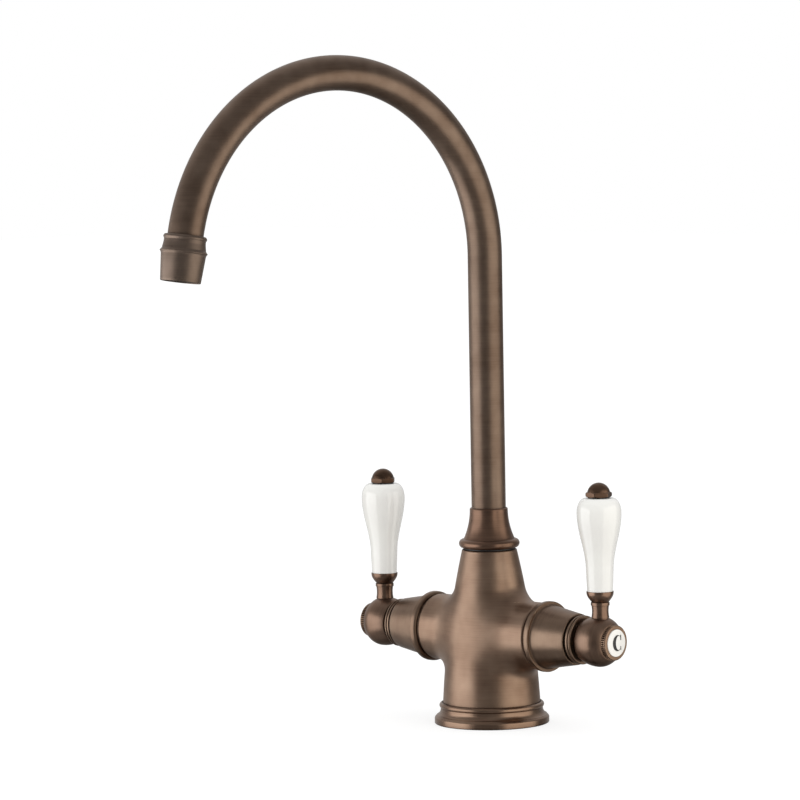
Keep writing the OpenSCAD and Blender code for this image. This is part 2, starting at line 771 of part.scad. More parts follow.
// Waisted neck, ring and cup, with a spigot in the hub
module lever_stem(side) {
  waist_z = stem_foot_z + stem_len * 0.5;
  foot = stem_foot_d / 2;
  waist = stem_waist_d / 2;
  ring_r = stem_ring_d / 2;
  n = 10;
  color(bronze)
    on_lever_axis(side)
      difference() {
        rotate_extrude()
          polygon(concat(
            [[0, stem_foot_z - stem_spigot_len], [stem_spigot_d / 2, stem_foot_z - stem_spigot_len]],
            [[stem_spigot_d / 2, stem_foot_z]],
            [for (i = [0:n]) let (t = i / n) [
              waist + (foot - waist) * pow(1 - t, 3) + (ring_r - 0.4 - waist) * pow(t, 3),
              stem_foot_z + stem_len * t
            ]],
            [[ring_r, stem_ring_z + 0.3], [ring_r, cup_z - 0.3], [cup_foot_d / 2, cup_z]],
            [for (i = [1:n]) let (t = i / n) [
              cup_foot_d / 2 + (cup_d - cup_foot_d) / 2 * sin(90 * t),
              cup_z + (cup_h - 0.3) * t
            ]],
            [[cup_d / 2 - 0.2, cup_rim_z], [0, cup_rim_z]]
          ));
        translate([0, 0, cup_floor_z]) cylinder(d = cup_bore_d, h = cup_h);
        translate([0, 0, stem_foot_z + 2]) cylinder(d = tie_rod_d + 2 * fit_gap, h = cup_rim_z);
      }
}

module tie_rod(side) {
  color(brass)
    on_lever_axis(side)
      translate([0, 0, stem_foot_z + 2]) cylinder(d = tie_rod_d, h = finial_z + finial_hex_h - stem_foot_z);
}

// Radius of the porcelain at height h above its foot
function handle_r(h) =
  let (
    t = min(1, max(0, (h - grip_len) / (bulb_at - grip_len))),
    taper = (grip_d - handle_foot_d) / 2 * (1 - min(1, h / grip_len))
  )
  grip_d / 2 - taper + (bulb_d - grip_d) / 4 * (1 - cos(180 * t));

// Slender foot swelling to a bulb with a rounded shoulder
module handle(side) {
  n = 28;
  shoulder_h = handle_len - bulb_at;
  shoulder_w = (bulb_d - crown_d) / 2;
  color(porcelain)
    on_lever_axis(side)
      rotate_extrude()
        polygon(concat(
          [[handle_bore_d / 2, handle_z], [handle_r(0) - 0.3, handle_z]],
          [for (i = [0:n - 1]) let (h = 0.3 + (bulb_at - 0.3) * i / n) [handle_r(h), handle_z + h]],
          [for (i = [0:10]) let (a = 9 * i) [
            crown_d / 2 + shoulder_w * cos(a),
            handle_z + bulb_at + shoulder_h * sin(a)
          ]],
          [[handle_bore_d / 2, handle_top]]
        ));
}

module soft_washers(side) {
  color(rubber)
    on_lever_axis(side) {
      ring(handle_foot_d - 1, handle_bore_d, cup_floor_z, handle_z);
      ring(finial_w - 1, handle_bore_d, handle_top, finial_z);
    }
}

// Hexagon with a dome
module finial(side, turn) {
  half_w = finial_w / 2;
  r = finial_dome_d / 2;
  dome_r = (pow(r, 2) + pow(finial_dome_h, 2)) / (2 * finial_dome_h);
  start = asin((dome_r - finial_dome_h) / dome_r);
  hex_top = finial_z + finial_hex_h;
  color(dark_bronze)
    on_lever_axis(side)
      difference() {
        union() {
          intersection() {
            translate([0, 0, finial_z]) rotate([0, 0, turn])
              cylinder(d = finial_w / cos(30), h = finial_hex_h, $fn = 6);
            // Chamfers the hexagon's corners
            translate([0, 0, hex_top - half_w]) cylinder(r1 = finial_w, r2 = half_w, h = half_w);
            translate([0, 0, finial_z]) cylinder(r1 = half_w, r2 = finial_w, h = half_w);
          }
          rotate_extrude()
            polygon(concat(
              [[0, hex_top - cut], [r, hex_top - cut]],
              arc([0, hex_top + finial_dome_h - dome_r], dome_r, start, 90, 14)
            ));
        }
        translate([0, 0, finial_z - cut])
          cylinder(d = tie_rod_d + 2 * fit_gap, h = finial_hex_h + 2 + fit_gap + cut);
      }
}

// The swan neck's solid form: a straight riser and the bend, which ends inside the nozzle
module neck_solid(d, extra) {
  translate([0, 0, tube_end_z - extra]) cylinder(d = d, h = bend_z - tube_end_z + extra);
  translate([0, -bend_r, bend_z])
    rotate([90, 0, 90]) rotate_extrude(angle = bend_angle + seat_turn) translate([bend_r, 0]) circle(d = d);
}

module spout_tube() {
  color(bronze)
    swung()
      difference() {
        neck_solid(tube_d, 0);
        neck_solid(tube_d - 2 * tube_wall, cut);
      }
}

// Bell-shaped collar with a half-round bead at its foot
module spout_collar() {
  bead_r = collar_bead_h / 2;
  bead_c = collar_bead_d / 2 - bead_r;
  flare_z = collar_z + collar_bead_h;
  lip_z = collar_z + collar_h;
  lip = 0.9;
  flare_top = lip_z - lip;
  low_r = collar_flare_d / 2;
  high_r = collar_lip_d / 2;
  // The flare is an arc through its two ends, hollow side outwards
  chord = norm([low_r - high_r, flare_top - flare_z]);
  lean = atan((low_r - high_r) / (flare_top - flare_z));
  half = asin(chord / (2 * collar_flare_r));
  centre = [
    (low_r + high_r) / 2 + sqrt(pow(collar_flare_r, 2) - pow(chord / 2, 2)) * cos(lean),
    (flare_z + flare_top) / 2 + sqrt(pow(collar_flare_r, 2) - pow(chord / 2, 2)) * sin(lean)
  ];
  color(bronze)
    difference() {
      rotate_extrude()
        polygon(concat(
          [[0, collar_z], [bead_c, collar_z]],
          arc([bead_c, collar_z + bead_r], bead_r, -90, 90, 12),
          [[low_r + 0.1, flare_z]],
          arc(centre, collar_flare_r, 180 + lean + half, 180 + lean - half, 14),
          arc([high_r - lip, lip_z - lip], lip, 0, 90, 4),
          [[0, lip_z]]
        ));
      translate([0, 0, collar_z - cut]) cylinder(d = tube_d + 2 * fit_gap, h = collar_h + 2 * cut);
      translate([0, 0, collar_z - cut]) cylinder(d = spigot_d + 2 * fit_gap, h = spigot_rise + cut);
    }
}

module spout_spigot() {
  top = collar_z + spigot_rise;
  groove_d = spigot_d - 2 * spigot_ring_t;
  color(brass)
    difference() {
      translate([0, 0, spigot_z]) cylinder(d = spigot_d, h = top - spigot_z);
      translate([0, 0, spigot_z - cut]) cylinder(d = spigot_bore_d, h = top - spigot_z + 2 * cut);
      translate([0, 0, tube_end_z]) cylinder(d = tube_d + 2 * fit_gap, h = top - tube_end_z + cut);
      for (z = [ring_low, ring_high])
        ring(spigot_d + cut, groove_d, spigot_z + z - fit_gap, spigot_z + z + spigot_ring_t + fit_gap);
      clip_at = spigot_z + clip_z;
      ring(spigot_d + cut, clip_bore_d - 2 * fit_gap, clip_at - fit_gap, clip_at + clip_t + fit_gap);
    }
}

module spout_o_rings() {
  color(rubber)
    for (z = [ring_low, ring_high])
      o_ring(spigot_d, spigot_ring_t, spigot_z + z + spigot_ring_t / 2);
}

// Split ring that hooks the spigot into the body's groove
module spout_clip() {
  color(brass)
    swung()
      difference() {
        ring(clip_d, clip_bore_d, spigot_z + clip_z, spigot_z + clip_z + clip_t);
        translate([-clip_split / 2, 0, spigot_z]) cube([clip_split, clip_d, clip_z + 2 * clip_t]);
      }
}

// Two beads and a taper, hollow for the tube and the aerator
module nozzle() {
  bead = 1.3;
  ridge = 1.2;
  end_edge = 0.5;
  bead_c = nozzle_bead_d / 2 - bead;
  color(bronze)
    at_spout_end()
      difference() {
        rotate_extrude()
          polygon(concat(
            [[0, 0], [bead_c, 0]],
            arc([bead_c, bead], bead, -70, 60, 7),
            [[nozzle_waist_d / 2, 2 * bead + 0.5]],
            [[nozzle_skirt_d / 2 - 0.3, nozzle_ridge_at - ridge]],
            arc([nozzle_ridge_d / 2 - 0.6, nozzle_ridge_at], 0.6, -60, 60, 5),
            [[nozzle_skirt_d / 2, nozzle_ridge_at + ridge]],
            [[nozzle_end_d / 2, nozzle_len - end_edge], [nozzle_end_d / 2 - end_edge, nozzle_len]],
            [[0, nozzle_len]]
          ));
        translate([0, 0, -cut]) cylinder(d = tube_d + 2 * fit_gap, h = tube_seat + free_gap + cut);
        cylinder(d = nozzle_bore_d, h = nozzle_len);
        translate([0, 0, nozzle_len - nozzle_mouth_depth]) cylinder(d = nozzle_mouth_d, h = nozzle_len);
      }
}

mouth_floor = nozzle_len - nozzle_mouth_depth;
aerator_end = nozzle_len - aerator_recess;
aerator_d = nozzle_mouth_d - 2 * fit_gap;

module aerator_washer() {
  color(rubber) at_spout_end() ring(aerator_d, nozzle_bore_d - 1, mouth_floor, mouth_floor + aerator_washer_t);
}

module aerator_housing() {
  lip = 0.8;
  z0 = mouth_floor + aerator_washer_t;
  color(brass)
    at_spout_end()
      difference() {
        translate([0, 0, z0]) cylinder(d = aerator_d, h = aerator_end - z0);
        translate([0, 0, z0 - cut])
          cylinder(d = aerator_d - 2 * aerator_wall, h = aerator_end - z0 - lip + cut);
        translate([0, 0, z0]) cylinder(d = aerator_d - 2 * aerator_wall - 1.6, h = nozzle_len);
      }
}

// Disc with rings of holes, held against the housing's lip
module aerator_insert() {
  lip = 0.8;
  color(plastic)
    at_spout_end()
      difference() {
        translate([0, 0, aerator_end - lip - insert_t])
          cylinder(d = aerator_d - 2 * aerator_wall - 2 * fit_gap, h = insert_t);
        for (k = [0:2]) for (i = [0:max(1, 6 * k) - 1])
          rotate([0, 0, 60 * i / max(1, k)])
            translate([insert_pitch * k, 0, mouth_floor])
              cylinder(d = insert_hole_d, h = nozzle_len, $fn = 24);
      }
}

base_ring();
base_seal();
body();
swivel_washer();
seat_seal(1);  // cold_seat_seal
ceramic_disc(1, discs_x);  // cold_fixed_disc
cartridge(1);  // cold_cartridge
shroud(1);  // cold_shroud
shroud_nut(1);  // cold_shroud_nut
seat_seal(-1);  // hot_seat_seal
ceramic_disc(-1, discs_x);  // hot_fixed_disc
cartridge(-1);  // hot_cartridge
shroud(-1);  // hot_shroud
shroud_nut(-1);  // hot_shroud_nut
spout_tube();
spout_collar();
spout_spigot();
spout_o_rings();
spout_clip();
nozzle();
aerator_washer();
aerator_housing();
aerator_insert();
ceramic_disc(1, moving_disc_x);  // cold_moving_disc
spindle(1);  // cold_spindle
spindle_o_ring(1);  // cold_spindle_o_ring
hub(1);  // cold_hub
hub_screw(1);  // cold_hub_screw
bezel(1);  // cold_bezel
index_disc(1);  // cold_index_disc
lever_stem(1);  // cold_lever_stem
tie_rod(1);  // cold_tie_rod
handle(1);  // cold_handle
soft_washers(1);  // cold_soft_washers
finial(1, cold_finial_turn);  // cold_finial
ceramic_disc(-1, moving_disc_x);  // hot_moving_disc
spindle(-1);  // hot_spindle
spindle_o_ring(-1);  // hot_spindle_o_ring
hub(-1);  // hot_hub
hub_screw(-1);  // hot_hub_screw
bezel(-1);  // hot_bezel
index_disc(-1);  // hot_index_disc
lever_stem(-1);  // hot_lever_stem
tie_rod(-1);  // hot_tie_rod
handle(-1);  // hot_handle
soft_washers(-1);  // hot_soft_washers
finial(-1, hot_finial_turn);  // hot_finial
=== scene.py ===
"""Looks of a traditional two-lever sink mixer: satin bronze, a swan neck and porcelain levers.

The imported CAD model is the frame. Each sub-assembly below is a class that holds its sizes in
millimetres and builds fine surfaces in the place of the CAD nodes that it replaces. The cold
valve is at +X, the hot valve at -X, the user stands at -Y and Z is up.
"""

import json
import logging
import math
from collections.abc import Mapping, Sequence
from dataclasses import dataclass, field
from enum import Enum

import bpy
import numpy as np
from bpy.types import Material, Mesh, Node, NodeSocket, NodeTree, Object, World
from mathutils import Matrix, Vector
from mathutils.geometry import delaunay_2d_cdt

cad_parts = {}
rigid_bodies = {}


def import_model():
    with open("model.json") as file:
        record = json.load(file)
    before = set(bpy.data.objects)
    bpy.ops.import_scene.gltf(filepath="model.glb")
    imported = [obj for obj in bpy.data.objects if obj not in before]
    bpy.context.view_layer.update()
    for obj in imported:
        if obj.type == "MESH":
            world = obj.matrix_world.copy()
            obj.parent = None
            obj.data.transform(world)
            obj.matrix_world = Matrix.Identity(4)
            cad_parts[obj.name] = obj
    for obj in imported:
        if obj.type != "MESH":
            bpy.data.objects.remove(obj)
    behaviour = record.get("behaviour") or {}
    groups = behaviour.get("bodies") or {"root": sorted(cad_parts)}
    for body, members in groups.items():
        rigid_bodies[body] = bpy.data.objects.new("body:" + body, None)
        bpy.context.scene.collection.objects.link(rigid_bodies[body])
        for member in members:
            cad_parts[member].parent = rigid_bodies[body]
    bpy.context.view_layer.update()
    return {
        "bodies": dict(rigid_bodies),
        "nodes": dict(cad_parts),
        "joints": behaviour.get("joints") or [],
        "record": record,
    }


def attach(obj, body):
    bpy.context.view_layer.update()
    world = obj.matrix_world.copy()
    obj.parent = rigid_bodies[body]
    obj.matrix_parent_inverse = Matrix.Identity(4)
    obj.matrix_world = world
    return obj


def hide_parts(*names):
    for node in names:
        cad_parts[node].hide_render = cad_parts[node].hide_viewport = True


LOG = logging.getLogger("mixer")
MM = 0.001
TAU = 2.0 * math.pi
WHITE = (1.0, 1.0, 1.0, 1.0)
VALVE_HEIGHT = 53.5
ARM_END = 40.5


class Side(Enum):
    """The two valves, by the sign of X on the side that they sit on."""

    COLD = 1
    HOT = -1


class Grain(Enum):
    """Axis that a piece was turned round while it was brushed, so its scratches circle it."""

    UPRIGHT = (0.0, 0.0, 1.0)
    VALVE = (1.0, 0.0, 0.0)

    def drawn_out(self, times: float) -> tuple[float, ...]:
        """Stretch of a pattern that is so many times longer round the axis than along it."""
        return tuple(1.0 if along else times for along in self.value)


# Surfaces


@dataclass
class Patch:
    """Part of a surface: a grid of points in millimetres, with a face between each four neighbours.

    Attributes:
        points: Array of shape (rows, columns, 3).
        closed: Whether the last column joins the first.
    """

    points: np.ndarray
    closed: bool = True

    def corners(self) -> np.ndarray:
        """Point numbers of the faces' corners.

        Returns:
            Array of shape (faces, 4), anticlockwise seen from outside for a turned piece.
        """
        rows, columns = self.points.shape[:2]
        number = np.arange(rows * columns).reshape(rows, columns)
        if self.closed:
            number = np.concatenate([number, number[:, :1]], axis=1)
        faces = [number[:-1, :-1], number[:-1, 1:], number[1:, 1:], number[1:, :-1]]
        return np.stack(faces, axis=-1).reshape(-1, 4)

    def moved(self, frame: np.ndarray) -> "Patch":
        """The same patch with each point p at frame's rotation times p plus its translation."""
        return Patch(self.points @ frame[:3, :3].T + frame[:3, 3], self.closed)


@dataclass
class Flat:
    """A flat surface cut into triangles.

    Attributes:
        points: Array of shape (points, 3), in millimetres.
        triangles: Array of shape (faces, 3), with the point numbers of the corners.
    """

    points: np.ndarray
    triangles: np.ndarray

    def corners(self) -> np.ndarray:
        """The triangles as faces of four corners, of which the first comes twice."""
        return np.concatenate([self.triangles, self.triangles[:, :1]], axis=1)


def frame_of(x: Sequence[float], y: Sequence[float], z: Sequence[float],
             at: Sequence[float]) -> np.ndarray:
    """A frame from the directions of its three axes and its origin.

    Args:
        x, y, z: Directions of its own axes.
        at: Its origin in millimetres.

    Returns:
        Array of shape (4, 4).
    """
    frame = np.eye(4)
    frame[:3, 0], frame[:3, 1], frame[:3, 2], frame[:3, 3] = x, y, z, at
    return frame


def shifted(x: float, y: float, z: float) -> np.ndarray:
    """The frame of a plain shift."""
    return frame_of(*np.eye(3), (x, y, z))


def turned_about(axis: str, degrees: float) -> np.ndarray:
    """The frame of a turn about one row axis."""
    return np.array(Matrix.Rotation(math.radians(degrees), 4, axis))


def valve_frame(side: Side) -> np.ndarray:
    """Frame on the valve axis: Z outwards, Y up, X to the right as its end is faced."""
    s = side.value
    return frame_of((0, s, 0), (0, 0, 1), (s, 0, 0), (0, 0, VALVE_HEIGHT))


def rings(radius: np.ndarray | float, angle: np.ndarray, height: np.ndarray | float) -> np.ndarray:
    """Points at (radius cos angle, radius sin angle, height), with X, Y and Z last."""
    across, along = radius * np.cos(angle), radius * np.sin(angle)
    return np.stack(np.broadcast_arrays(across, along, height), axis=-1)


def arc(across: float, along: float, radius: float, start: float, end: float,
        count: int = 20) -> np.ndarray:
    """Points of an outline on a circle about (across, along), between two angles in degrees."""
    angle = np.radians(np.linspace(start, end, count))
    return np.stack([across + radius * np.cos(angle), along + radius * np.sin(angle)], axis=1)


def ball_radius(rim: float, rise: float) -> float:
    """Radius of the ball of which a cap has this rim radius and this height."""
    return (rim ** 2 + rise ** 2) / (2 * rise)


def rounded(corners: Sequence[tuple[float, float, float]], steps: int = 6) -> np.ndarray:
    """An outline through corners, each softened by an arc of its own radius.

    At a corner where the outline turns by angle t, an arc of radius r touches both sides at
    r * tan(t / 2) from the corner, and its points are laid by turning from one side to the other.

    Args:
        corners: Each is (across, along, radius) in millimetres.
        steps: Number of pieces that each arc is cut into.

    Returns:
        Array of shape (points, 2).
    """
    at = np.array([c[:2] for c in corners], float)
    parts = [at[:1]]
    for before, here, after, (_, _, radius) in zip(at[:-2], at[1:-1], at[2:], corners[1:-1]):
        if radius <= 0.0:
            parts.append(here[None])
            continue
        come, go = here - before, after - here
        come, go = come / np.linalg.norm(come), go / np.linalg.norm(go)
        turn = math.atan2(come[0] * go[1] - come[1] * go[0], float(come @ go))
        start = here - come * radius * math.tan(abs(turn) / 2)
        swing = np.linspace(0.0, turn, steps + 1)
        side = np.array([-come[1], come[0]]) * math.copysign(1.0, turn)
        parts.append(start + radius * (np.sin(np.abs(swing))[:, None] * come
                                       + (1 - np.cos(swing))[:, None] * side))
    parts.append(at[-1:])
    return np.concatenate(parts)


def finely(outline: np.ndarray, step: float) -> np.ndarray:
    """The same outline with more points, each stretch cut into equal steps.

    Args:
        outline: Array of shape (points, 2).
        step: The furthest that two neighbours may lie apart, in millimetres.

    Returns:
        Array of shape (more points, 2).
    """
    gap = np.linalg.norm(np.diff(outline, axis=0), axis=1)
    along = np.concatenate([[0.0], np.cumsum(gap)])
    count = np.maximum(1, np.ceil(gap / step).astype(int))
    place = np.concatenate([a + (b - a) * np.arange(n) / n
                            for a, b, n in zip(along[:-1], along[1:], count)] + [along[-1:]])
    return np.stack([np.interp(place, along, outline[:, k]) for k in (0, 1)], axis=1)


def turned(outline: np.ndarray, columns: int = 128) -> Patch:
    """A lathe-turned surface: each point (r, h) of the outline circles the Z axis at height h.

    Args:
        outline: Array of shape (points, 2); going up on the outside gives outward faces.
        columns: Number of points round the axis.

    Returns:
        The surface as a closed patch.
    """
    angle = np.linspace(0.0, TAU, columns, endpoint=False)
    return Patch(rings(outline[:, :1], angle, outline[:, 1:]))


def mesh_of(name: str, patches: Sequence[Patch | Flat], crease: float = 40.0) -> Mesh:
    """One mesh from several patches, with touching points welded and seams and poles closed.

    Points closer than a micron become one. A face that is left with three corners becomes a
    triangle, and one with fewer goes.

    Args:
        name: Name of the mesh.
        patches: The surfaces that make it up.
        crease: Edges sharper than this many degrees stay sharp.

    Returns:
        The mesh, in metres.
    """
    starts = np.cumsum([0] + [patch.points[..., 0].size for patch in patches])
    points = np.concatenate([patch.points.reshape(-1, 3) for patch in patches])
    corners = np.concatenate([patch.corners() + start for patch, start in zip(patches, starts)])
    _, first, welded = np.unique(np.round(points, 3), axis=0, return_index=True, return_inverse=True)
    corners = welded.reshape(-1)[corners]
    kept = corners != np.roll(corners, -1, axis=1)
    kept[kept.sum(axis=1) < 3] = False
    total = kept.sum(axis=1)
    loops, total = corners[kept], total[total > 0]
    mesh = bpy.data.meshes.new(name)
    mesh.vertices.add(len(first))
    mesh.vertices.foreach_set("co", (points[first] * MM).ravel())
    mesh.loops.add(len(loops))
    mesh.loops.foreach_set("vertex_index", loops)
    mesh.polygons.add(len(total))
    mesh.polygons.foreach_set("loop_start", np.cumsum(total) - total)
    mesh.polygons.foreach_set("loop_total", total)
    mesh.update(calc_edges=True)
    mesh.validate()
    mesh.polygons.foreach_set("use_smooth", np.ones(len(mesh.polygons), bool))
    mesh.set_sharp_from_angle(angle=math.radians(crease))
    return mesh


def into_scene(thing: Object) -> Object:
    """Links an object to the scene."""
    bpy.context.scene.collection.objects.link(thing)
    return thing


# Finishes


def linear(colour: str) -> tuple[float, float, float, float]:
    """An sRGB hex colour as linear light: a straight line near black, and else a power of 2.4.

    Args:
        colour: A number sign and six hex digits.

    Returns:
        Red, green and blue, and an alpha of 1.
    """
    part = np.array([int(colour[i:i + 2], 16) for i in (1, 3, 5)]) / 255.0
    value = np.where(part <= 0.04045, part / 12.92, ((part + 0.055) / 1.055) ** 2.4)
    return (*map(float, value), 1.0)


def bare_tree(owner: Material | World) -> NodeTree:
    """Turns nodes on for a material or world, and empties its tree.

    Args:
        owner: The material or world.

    Returns:
        Its node tree.
    """
    owner.use_nodes = True
    owner.node_tree.nodes.clear()
    return owner.node_tree


def add(tree: NodeTree, kind: str, inputs: Mapping[str | int, object] | Sequence[object] = (),
        **settings: object) -> Node:
    """Adds one node to a tree.

    Args:
        tree: The node tree.
        kind: Blender's name of the node.
        inputs: What its sockets take, in their order or by socket: a value, the output socket
            that feeds it, or the node whose first output does.
        settings: Properties of the node.

    Returns:
        The node.
    """
    node = tree.nodes.new(kind)
    for key, value in settings.items():
        setattr(node, key, value)
    for key, value in inputs.items() if isinstance(inputs, Mapping) else enumerate(inputs):
        source = value.outputs[0] if isinstance(value, Node) else value
        if isinstance(source, NodeSocket):
            tree.links.new(source, node.inputs[key])
        else:
            node.inputs[key].default_value = source
    return node


def speckle(tree: NodeTree, size: float, stretch: Sequence[float] = (1.0, 1.0, 1.0),
            detail: float = 3.0) -> Node:
    """A noise pattern on Object coordinates.

    Args:
        tree: The node tree.
        size: Size of one blotch in millimetres.
        stretch: How many times longer a blotch is along each axis.
        detail: Octaves of finer noise.

    Returns:
        The noise, whose value goes from 0 to 1.
    """
    place = add(tree, "ShaderNodeTexCoord").outputs["Object"]
    scale = tuple(1.0 / (size * MM * s) for s in stretch)
    scaled = add(tree, "ShaderNodeMapping", {"Vector": place, "Scale": scale})
    return add(tree, "ShaderNodeTexNoise", {"Vector": scaled, "Scale": 1.0, "Detail": detail,
                                            "Roughness": 0.55})


def tinted(tree: NodeTree, pattern: Node | NodeSocket,
           span: tuple[float, float], first: str | NodeSocket, second: str,
           share: tuple[float, float] = (0.0, 1.0)) -> NodeSocket:
    """Takes a colour towards a second one by a pattern.

    Args:
        tree: The node tree.
        pattern: The pattern, as a number.
        span: The pattern's values between which the second colour's share changes.
        first: The first colour, as sRGB hex or as the socket that gives it.
        second: The second colour, as sRGB hex.
        share: The second colour's share at the start and at the end of the span.

    Returns:
        The socket with the mixed colour.
    """
    level = add(tree, "ShaderNodeMapRange", (pattern, *span, *share))
    start = linear(first) if isinstance(first, str) else first
    mix = {"Factor": level, 6: start, 7: linear(second)}
    return add(tree, "ShaderNodeMix", mix, data_type="RGBA").outputs[2]


@dataclass(frozen=True)
class Finish:
    """What every finish has in common: a name, a slot of the record and a material made once."""

    name: str
    slot: str = field(default="bronze", kw_only=True)

    def material(self) -> Material:
        """The finish's material, made on first use.

        Returns:
            The material, of the finish's name.
        """
        made = bpy.data.materials.get(self.name)
        if made is None:
            made = bpy.data.materials.new(self.name)
            tree = bare_tree(made)
            add(tree, "ShaderNodeOutputMaterial", {"Surface": self.shader(tree)})
        return made

    def shader(self, tree: NodeTree) -> Node:
        """The finish's shader; each kind of finish has its own.

        Args:
            tree: The material's node tree.

        Returns:
            The node whose first output is the shader.
        """
        raise NotImplementedError


@dataclass(frozen=True)
class BrushedBronze(Finish):
    """Brass, belt-brushed round its axis, browned to antique bronze and lacquered satin.

    The brushing gives fine scratches that circle the piece and widen its highlights. The
    browning is a little uneven over some centimetres and rubbed lighter on proud edges. Corners,
    crevices and gaps between parts carry painted shade, darkened by ambient occlusion, which
    partly also stands for patina settled there.
    """

    brown: str = "#9b8270"
    deep: str = "#7f6656"
    rubbed: str = "#c3a78f"
    roughness: float = 0.36
    grain: Grain = Grain.UPRIGHT
    # The next two fields give the painted shade in corners and gaps between parts, partly also patina: its
    # near black brown and its share where they are tightest
    corner: str = "#2e1f17"
    painted_shade_share: float = 0.85

    def shader(self, tree: NodeTree) -> Node:
        """Metal whose colour, roughness and height follow the brushing and the browning, with painted shade
        in corners and gaps between parts.
        """
        # Real belt scratches are about 0.1 mm apart; 0.5 mm is the finest that shows
        scratches = speckle(tree, 0.5, self.grain.drawn_out(46.0), 2.0)
        cloud = speckle(tree, 16.0, detail=2.0)
        proud = add(tree, "ShaderNodeNewGeometry").outputs["Pointiness"]
        air = add(tree, "ShaderNodeAmbientOcclusion", {"Distance": 2.5 * MM}, samples=6).outputs["AO"]
        colour = tinted(tree, cloud, (0.3, 0.7), self.deep, self.brown)
        colour = tinted(tree, scratches, (0.2, 0.8), colour, self.rubbed, share=(0.0, 0.22))
        colour = tinted(tree, proud, (0.53, 0.6), colour, self.rubbed, share=(0.0, 0.6))
        # Painted shade, partly also patina: the colour goes towards the near black brown where ambient
        # occlusion finds corners or neighbouring parts within 2.5 mm
        colour = tinted(tree, air, (0.3, 0.9), colour, self.corner, share=(self.painted_shade_share, 0.0))
        rough = add(tree, "ShaderNodeMapRange",
                    (scratches, 0.25, 0.75, self.roughness - 0.05, self.roughness + 0.05))
        bump = add(tree, "ShaderNodeBump", {"Strength": 0.12, "Distance": 0.02 * MM,
                                            "Height": scratches})
        return add(tree, "ShaderNodeBsdfPrincipled", {
            "Base Color": colour, "Metallic": 1.0, "Roughness": rough, "Normal": bump})


@dataclass(frozen=True)
class GlazedPorcelain(Finish):
    """White porcelain, slip-cast and glazed: a clear glossy coat over a faintly warm body."""

    body: str = "#f3f3ef"
    shade: str = "#efeeeb"

    def shader(self, tree: NodeTree) -> Node:
        """A soft white body under a smooth glaze that ripples by some hundredths."""
        colour = tinted(tree, speckle(tree, 20.0, detail=1.0), (0.3, 0.7), self.body, self.shade)
        bump = add(tree, "ShaderNodeBump", {"Strength": 0.05, "Distance": 0.05 * MM,
                                            "Height": speckle(tree, 7.0, detail=1.0)})
        return add(tree, "ShaderNodeBsdfPrincipled", {
            "Base Color": colour, "Roughness": 0.16, "IOR": 1.55, "Coat Weight": 0.5,
            "Coat Roughness": 0.05, "Normal": bump})


@dataclass(frozen=True)
class Enamel(Finish):
    """Stoved enamel in one colour, as on the letters, slightly uneven in gloss."""

    colour: str = "#2c2a29"
    pale: str = "#4a4744"

    def shader(self, tree: NodeTree) -> Node:
        """Opaque gloss with a faint mottle."""
        mottle = speckle(tree, 0.8)
        colour = tinted(tree, mottle, (0.3, 0.7), self.colour, self.pale, share=(0.0, 0.25))
        rough = add(tree, "ShaderNodeMapRange", (mottle, 0.2, 0.8, 0.25, 0.4))
        return add(tree, "ShaderNodeBsdfPrincipled", {"Base Color": colour, "Roughness": rough})


@dataclass(frozen=True)
class TurnedBrass(Finish):
    """Bare brass as it comes from the lathe, on the parts inside."""

    grain: Grain = Grain.VALVE
    dull: str = "#a5863f"
    bright: str = "#cdb06a"

    def shader(self, tree: NodeTree) -> Node:
        """Yellow metal with turning marks round its axis."""
        marks = speckle(tree, 0.4, self.grain.drawn_out(41.0), 2.0)
        colour = tinted(tree, marks, (0.0, 1.0), self.dull, self.bright)
        rough = add(tree, "ShaderNodeMapRange", (marks, 0.2, 0.8, 0.22, 0.36))
        bump = add(tree, "ShaderNodeBump", {"Strength": 0.2, "Distance": 0.02 * MM, "Height": marks})
        return add(tree, "ShaderNodeBsdfPrincipled", {
            "Base Color": colour, "Metallic": 1.0, "Roughness": rough, "Normal": bump})


@dataclass(frozen=True)
class Moulded(Finish):
    """Moulded rubber, plastic or sintered ceramic, with a fine grain from the mould."""

    colour: str = "#232323"
    tint: str = "#303030"
    roughness: float = 0.7

    def shader(self, tree: NodeTree) -> Node:
        """Matt or satin body with grain of about a third of a millimetre."""
        grain = speckle(tree, 0.35)
        colour = tinted(tree, grain, (0.3, 0.7), self.colour, self.tint)
        bump = add(tree, "ShaderNodeBump", {"Strength": 0.15, "Distance": 0.03 * MM, "Height": grain})
        return add(tree, "ShaderNodeBsdfPrincipled", {
            "Base Color": colour, "Roughness": self.roughness, "Normal": bump})


